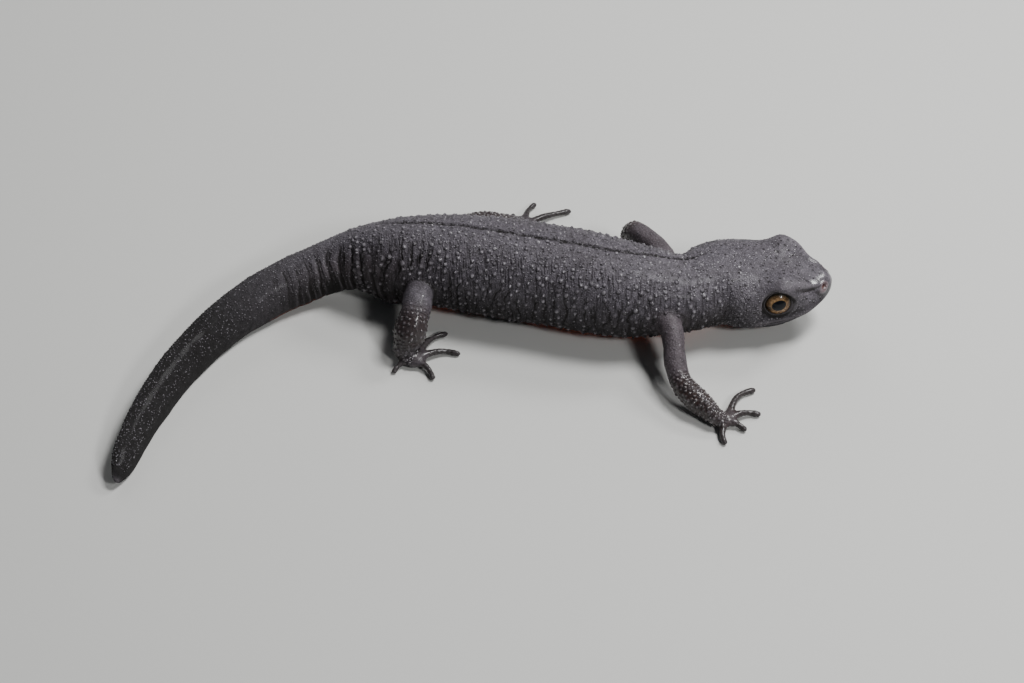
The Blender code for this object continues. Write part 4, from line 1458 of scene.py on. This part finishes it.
def domes(name, roots, outward, sizes, heights, kept, atlas, sides):
    """Small domes on their roots, joined in one mesh.

    Each dome is a few rings round its outward line, with radius and height taken from a profile,
    and a point on top. In the flat map every dome is a patch of one size at its root's place.
    """
    level = unit(np.cross(outward, [0.31, 0.17, 0.93]))
    across = np.cross(outward, level)
    angle = ring_angles(sides)
    spin = shuffle.uniform(0, 2 * math.pi, len(roots))[:, None] + angle
    vivid = shuffle.uniform(0.35, 1.05, len(roots)) ** 2
    circle = np.cos(spin)[..., None] * level[:, None] + np.sin(spin)[..., None] * across[:, None]
    lift = outward * heights[:, None]
    layers = [
        roots[:, None] + circle * (sizes[:, None] * r)[..., None] + (lift * h)[:, None]
        for r, h in DOME
    ]
    points = np.concatenate([*layers, (roots + lift)[:, None]], axis=1)
    points[..., 2] = np.maximum(points[..., 2], 0.0)

    per = sides * len(DOME) + 1
    ring = np.arange(sides)
    after = (ring + 1) % sides
    wall = np.stack([ring, after, sides + after, sides + ring], axis=-1)
    last = (len(DOME) - 1) * sides
    cap = np.stack([last + ring, last + after, 0 * ring + per - 1], axis=-1)
    starts = (np.arange(len(roots)) * per)[:, None, None]
    walls = np.concatenate([wall + k * sides for k in range(len(DOME) - 1)])
    quads = (walls[None] + starts).reshape(-1, 4)
    triangles = (cap[None] + starts).reshape(-1, 3)
    mesh = bpy.data.meshes.new(name)
    mesh.from_pydata((points * MM).reshape(-1, 3), [], quads.tolist() + triangles.tolist())

    patch_ring = np.stack([np.cos(angle), np.sin(angle)], -1) * PATCH_RADIUS
    patch = np.concatenate([patch_ring * r for r, _ in DOME] + [np.zeros((1, 2))])
    flat = (atlas[:, None] + patch[None]).reshape(-1, 2)
    corners = np.empty(len(mesh.loops), int)
    mesh.loops.foreach_get("vertex_index", corners)
    mesh.uv_layers.new(name="OFBake").data.foreach_set("uv", flat[corners].ravel())
    for field_name, values in zip(FIELDS, kept.T):
        set_field(mesh, field_name, np.repeat(values, per))
    tips = np.repeat([*(max(h, 0.0) for _, h in DOME), 1.0], [sides] * len(DOME) + [1])
    set_field(mesh, "tip", vivid[:, None] * tips)
    # a painted shadow: darker at each dome's foot, most on its lower side
    lower_side = np.column_stack([np.tile(circle[..., 2], len(DOME)), np.zeros(len(roots))])
    shares = np.repeat(SHADE, [sides] * len(DOME) + [1])
    set_field(mesh, "granule_shadow", np.clip(0.42 - 1.2 * lower_side, 0, 1) * shares)

    mesh.shade_smooth()
    mesh.materials.append(skin_material)
    piece = placed(name, mesh)
    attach(piece, "root")
    print(name, len(roots), "granules,", len(quads) * 2 + len(triangles), "triangles")


# %% [markdown]
# On the body, how far a granule stands from the snout and round the body is also its place on the
# flat map. One function lays out all four kinds, and each kind has its own rule for where it is
# strong. A granule is left out where a random number is above its strength.

# %% Granules of the body
BODY_STRIP = (0.36, 0.98)  # the body's share of the flat map's height; the limbs lie below it
MAP_MARGIN, MAP_WIDTH = 0.02, 0.96
EYE_CLEAR = (2.25, 2.75)  # no granules nearer an eye's middle than this, and all beyond


def body_granules(name, start, end, spacing, columns, size, height, sides, strength_at, stray=0.18):
    """Granules on a length of the body, in rows a spacing apart, with columns round it.

    strength_at gives 0 to 1 from the distance, the degrees off the top and those off the belly,
    and stray says how far the places leave their rows, as a share of the spacing.
    """
    row = np.arange(start, end, spacing)
    places = np.repeat(row, columns) + shuffle.normal(0, stray * spacing, len(row) * columns)
    turn = staggered(row, columns, stray)
    order = np.argsort(places)
    places, turn = np.clip(places[order], start, end), turn[order] % (2 * math.pi)
    wanted = body_surface(places, turn[:, None])[:, 0]
    roots, outward, kept = rooted(wanted)
    strength = strength_at(places, np.abs(around(turn, 90)), np.abs(around(turn, 270)))
    strength = strength * (1 - ramp(np.linalg.norm(roots - wanted, axis=1), 0.45, 0.8))
    strength *= np.clip(1 - kept_field(kept, "pit"), 0, 1) * out_of_creases(kept)
    strength *= 1 - 0.75 * ramp(kept_field(kept, "hollow"), 0.15, 0.7)
    to_eye = np.linalg.norm(roots[:, None] - eye_centres, axis=-1).min(axis=1)
    strength *= ramp(to_eye, *EYE_CLEAR)
    sizes = size * shuffle.uniform(0.70, 1.2, len(roots)) * (0.6 + 0.4 * strength)
    heights = height * shuffle.uniform(0.6, 1.25, len(roots)) * strength
    chosen = (strength > shuffle.uniform(0.05, 0.55, len(roots))) & (roots[:, 2] > 0.5)
    low, high = BODY_STRIP
    map_x = MAP_MARGIN + MAP_WIDTH * places / BODY_LENGTH
    atlas = np.stack([map_x, low + (high - low) * turn / (2 * math.pi)], axis=-1)
    made_of = (roots, outward, sizes, heights, kept, atlas)
    domes(name, *(values[chosen] for values in made_of), sides)


def on_trunk(place, off_top, off_belly):
    """Large granules: full on the flank, fewer on the back, none on the belly."""
    flank = 0.58 + 0.42 * ramp(off_top, 25, 60)
    return ramp(off_belly, 20, 34) * flank * (0.35 + 0.65 * ramp(place, 14, 21))


def between_them(place, off_top, off_belly):
    """Fine granules between the large ones."""
    return ramp(off_belly, 20, 34) * (0.62 + 0.25 * ramp(off_top, 15, 60))


def on_head(place, off_top, off_belly):
    """Fine granules: full on cheeks and nape, low on the crown, none on the snout's end."""
    cheeks = ramp(off_top, 50, 85) * ramp(place, 6.5, 9.5)
    full = np.maximum(cheeks, ramp(place, 10.0, 14.5))
    return ramp(off_belly, 40, 66) * ramp(place, 2.4, 5.0) * np.maximum(0.45, full)


def on_tail(place, off_top, off_belly):
    """Fine granules: full above, none on the lower third of each side."""
    return ramp(off_belly, 50, 85)


# name, from, to, spacing, columns, size, height, sides, strength, stray
body_granules("trunk_granules", 13.0, 63.0, 1.12, 35, 0.31, 0.26, 8, on_trunk)
body_granules("fine_granules", 12.0, 63.0, 0.60, 54, 0.13, 0.075, 6, between_them, 0.26)
body_granules("head_granules", 2.4, 13.5, 0.48, 60, 0.16, 0.085, 6, on_head, 0.26)
body_granules("tail_granules", 62.0, 109.4, 0.42, 38, 0.104, 0.084, 6, on_tail, 0.65)

# %% [markdown]
# ## Granules on the limbs
# The lower limbs carry finer granules than the body, close together, while the upper arm is
# nearly smooth. They stand round each limb's path, in rings that are dropped onto the skin.

# %% Limb granules
LIMB_STRIP = 0.08  # each limb's share of the flat map's height
RING_COUNTS = {"arm": 15, "leg": 19}


def limb_granules(name, number):
    """Where one limb's granules stand: rings round its path, dropped onto the skin."""
    kind = name.split("_")[1]
    joints, knots, palm, _ = limb_lines(name)
    line = np.concatenate([joints, palm[None]])
    marks = run_lengths(line)
    down = np.arange(knots[1] + 0.6, marks[-1], 0.50)
    count = RING_COUNTS[kind]
    places = np.repeat(down, count) + shuffle.normal(0, 0.09, len(down) * count)
    places = np.clip(places, 0.1, marks[-1] - 0.1)
    turn = staggered(down, count, 0.1)
    middle = through(marks, line, places)
    heading = unit(through(marks, line, places + 0.05) - through(marks, line, places - 0.05))
    first, second = square_to(heading)
    girth = np.interp(places, [*knots, marks[-1]], [*GIRTHS[kind], PALMS[kind][2]])
    fuller = np.where(places < knots[2], *FULLNESS) * (places < knots[3])
    girth *= 1 + fuller * np.sin(math.pi * np.interp(places, knots, np.arange(4))) ** 2
    spoke = np.cos(turn)[:, None] * first + np.sin(turn)[:, None] * second
    wanted = middle + spoke * girth[:, None]
    roots, outward, kept = rooted(wanted)
    lower = ramp(places, knots[2] - 1.8, knots[2] + 0.6)
    strength = (0.22 + 0.78 * lower) * out_of_creases(kept)
    strength *= 1 - ramp(np.linalg.norm(roots - wanted, axis=1), 0.7, 1.2)
    strength *= np.clip(kept_field(kept, "limb") * 2 - 0.9, 0, 1)
    strength *= 1 - 0.8 * ramp(kept_field(kept, "hollow"), 0.2, 0.8)
    sizes = (0.16 + 0.08 * lower) * shuffle.uniform(0.7, 1.2, len(roots))
    heights = (0.09 + 0.06 * lower) * shuffle.uniform(0.6, 1.3, len(roots)) * strength
    chosen = (strength > shuffle.uniform(0.05, 0.60, len(roots))) & (roots[:, 2] > 0.35)
    strip = number + 0.9 * (turn % (2 * math.pi)) / (2 * math.pi)
    map_x = MAP_MARGIN + MAP_WIDTH * places / marks[-1]
    atlas = np.stack([map_x, MAP_MARGIN + LIMB_STRIP * strip], axis=-1)
    return [values[chosen] for values in (roots, outward, sizes, heights, kept, atlas)]


every = [limb_granules(name, number) for number, name in enumerate(LIMBS)]
domes("limb_granules", *(np.concatenate(values) for values in zip(*every)), 6)

# %% [markdown]
# ## Eyes
# The eye is a ball whose cap over the iris bulges slightly, under a thin clear coat. The iris is
# gold, brightest above the pupil and flecked with brown, and the pupil is a level oval. A dark bar
# crosses the iris behind it. The eye is one mesh, whose colours are drawn from two numbers kept on
# it: how far forward and how far up each point lies from the middle of the gaze.

# %% Eyes
CORNEA = 0.05  # how much the ball bulges at the middle of the gaze
PUPIL = (0.93, 0.73)  # half length, half height
PUPIL_MIDDLE = (0.13, 0.22)
IRIS = (1.50, 1.48)
EYE_PAINTS = {
    "deep gold": (0.085, 0.043, 0.020),
    "gold": (0.54, 0.31, 0.14),
    "upper gold": (0.66, 0.43, 0.23),
    "brown fleck": (0.095, 0.048, 0.022),
    "fine fleck": (0.050, 0.026, 0.013),
    "bar": (0.020, 0.014, 0.008),
    "rim": (0.014, 0.012, 0.008),
    "pupil's ring": (0.42, 0.26, 0.11),
    "pupil": (0.004, 0.005, 0.008),
}


def oval(forward, upward, size, middle=(0.0, 0.0)):
    """0 in the middle and 1 on an oval's edge: the square root of (x / a)^2 + (y / b)^2."""
    squares = [
        calc("POWER", times(calc("SUBTRACT", value, start), 1 / half), 2.0)
        for value, start, half in zip((forward, upward), middle, size)
    ]
    return calc("SQRT", calc("ADD", *squares))


def eye_material():
    """Gold iris, dark bar and oval pupil, drawn from the two gaze numbers under a clear coat."""
    material, shader = begin("newt_eye")
    place = add("ShaderNodeTexCoord", output=3)
    forward, upward = field("gaze_forward"), field("gaze_up")
    fleck, fine = grain(place, 0.22, 3.0, 0.7), grain(place, 0.08, 2.0, 0.6)
    brown = grain(place, 0.55, 2.0, 0.6)
    bar_height = between(calc("ABSOLUTE", upward), 0.15, 0.55, 1.0, 0.0)
    pupil = oval(forward, upward, PUPIL, PUPIL_MIDDLE)
    iris = scaled(fleck, 0.35, oval(forward, upward, IRIS))
    colour = layered(
        EYE_PAINTS["deep gold"], EYE_PAINTS,
        (between(fleck, 0.40, 0.60), "gold"),
        (between(upward, -0.2, 1.1, 0.0, 0.45), "upper gold"),
        (between(brown, 0.50, 0.62, 0.0, 0.70), "brown fleck"),
        (between(fine, 0.42, 0.60, 0.0, 0.75), "fine fleck"),
        (times(bar_height, between(forward, -0.55, -1.0), 0.85), "bar"),
        (between(iris, 0.95, 1.25), "rim"),
        (between(pupil, 1.22, 1.05, 0.0, 0.35), "pupil's ring"),
        (between(pupil, 0.96, 1.06, 1.0, 0.0), "pupil"),
    )
    bump = {"Strength": 0.25, "Distance": 0.02 * MM, "Height": fleck}
    fill(shader, {
        "Base Color": colour,
        "Roughness": 0.30,
        "Specular IOR Level": 0.10,
        "Coat Weight": 0.25,
        "Coat Roughness": 0.03,
        "Normal": add("ShaderNodeBump", bump),
    })
    return material


def build_eye(name, sign, finish_material):
    """A ball on the gaze line: radius times 1 plus a bell of the angle from the gaze."""
    centre, ahead, upward, out = eye_frame(sign)
    fall, ball = unit_ball(64, 96, sign)
    local = ball * (EYE_RADIUS * (1 + CORNEA * bell(fall, 0.55)))[..., None]
    grid = centre + local[..., :1] * ahead + local[..., 1:2] * upward + local[..., 2:] * out
    mesh = closed_mesh(name, grid, {"gaze_forward": local[..., 0], "gaze_up": local[..., 1]})
    print(name, "holds", round(volume_of(mesh), 1), "cubic mm")
    mesh.transform(Matrix.Scale(MM, 4))
    mesh.shade_smooth()
    mesh.materials.append(finish_material)
    eye = placed(name, mesh)
    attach(eye, "root")
    return eye


wet_gold = eye_material()
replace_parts(build_eye("left_eyeball", 1, wet_gold), "left_eye")
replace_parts(build_eye("right_eyeball", -1, wet_gold), "right_eye")
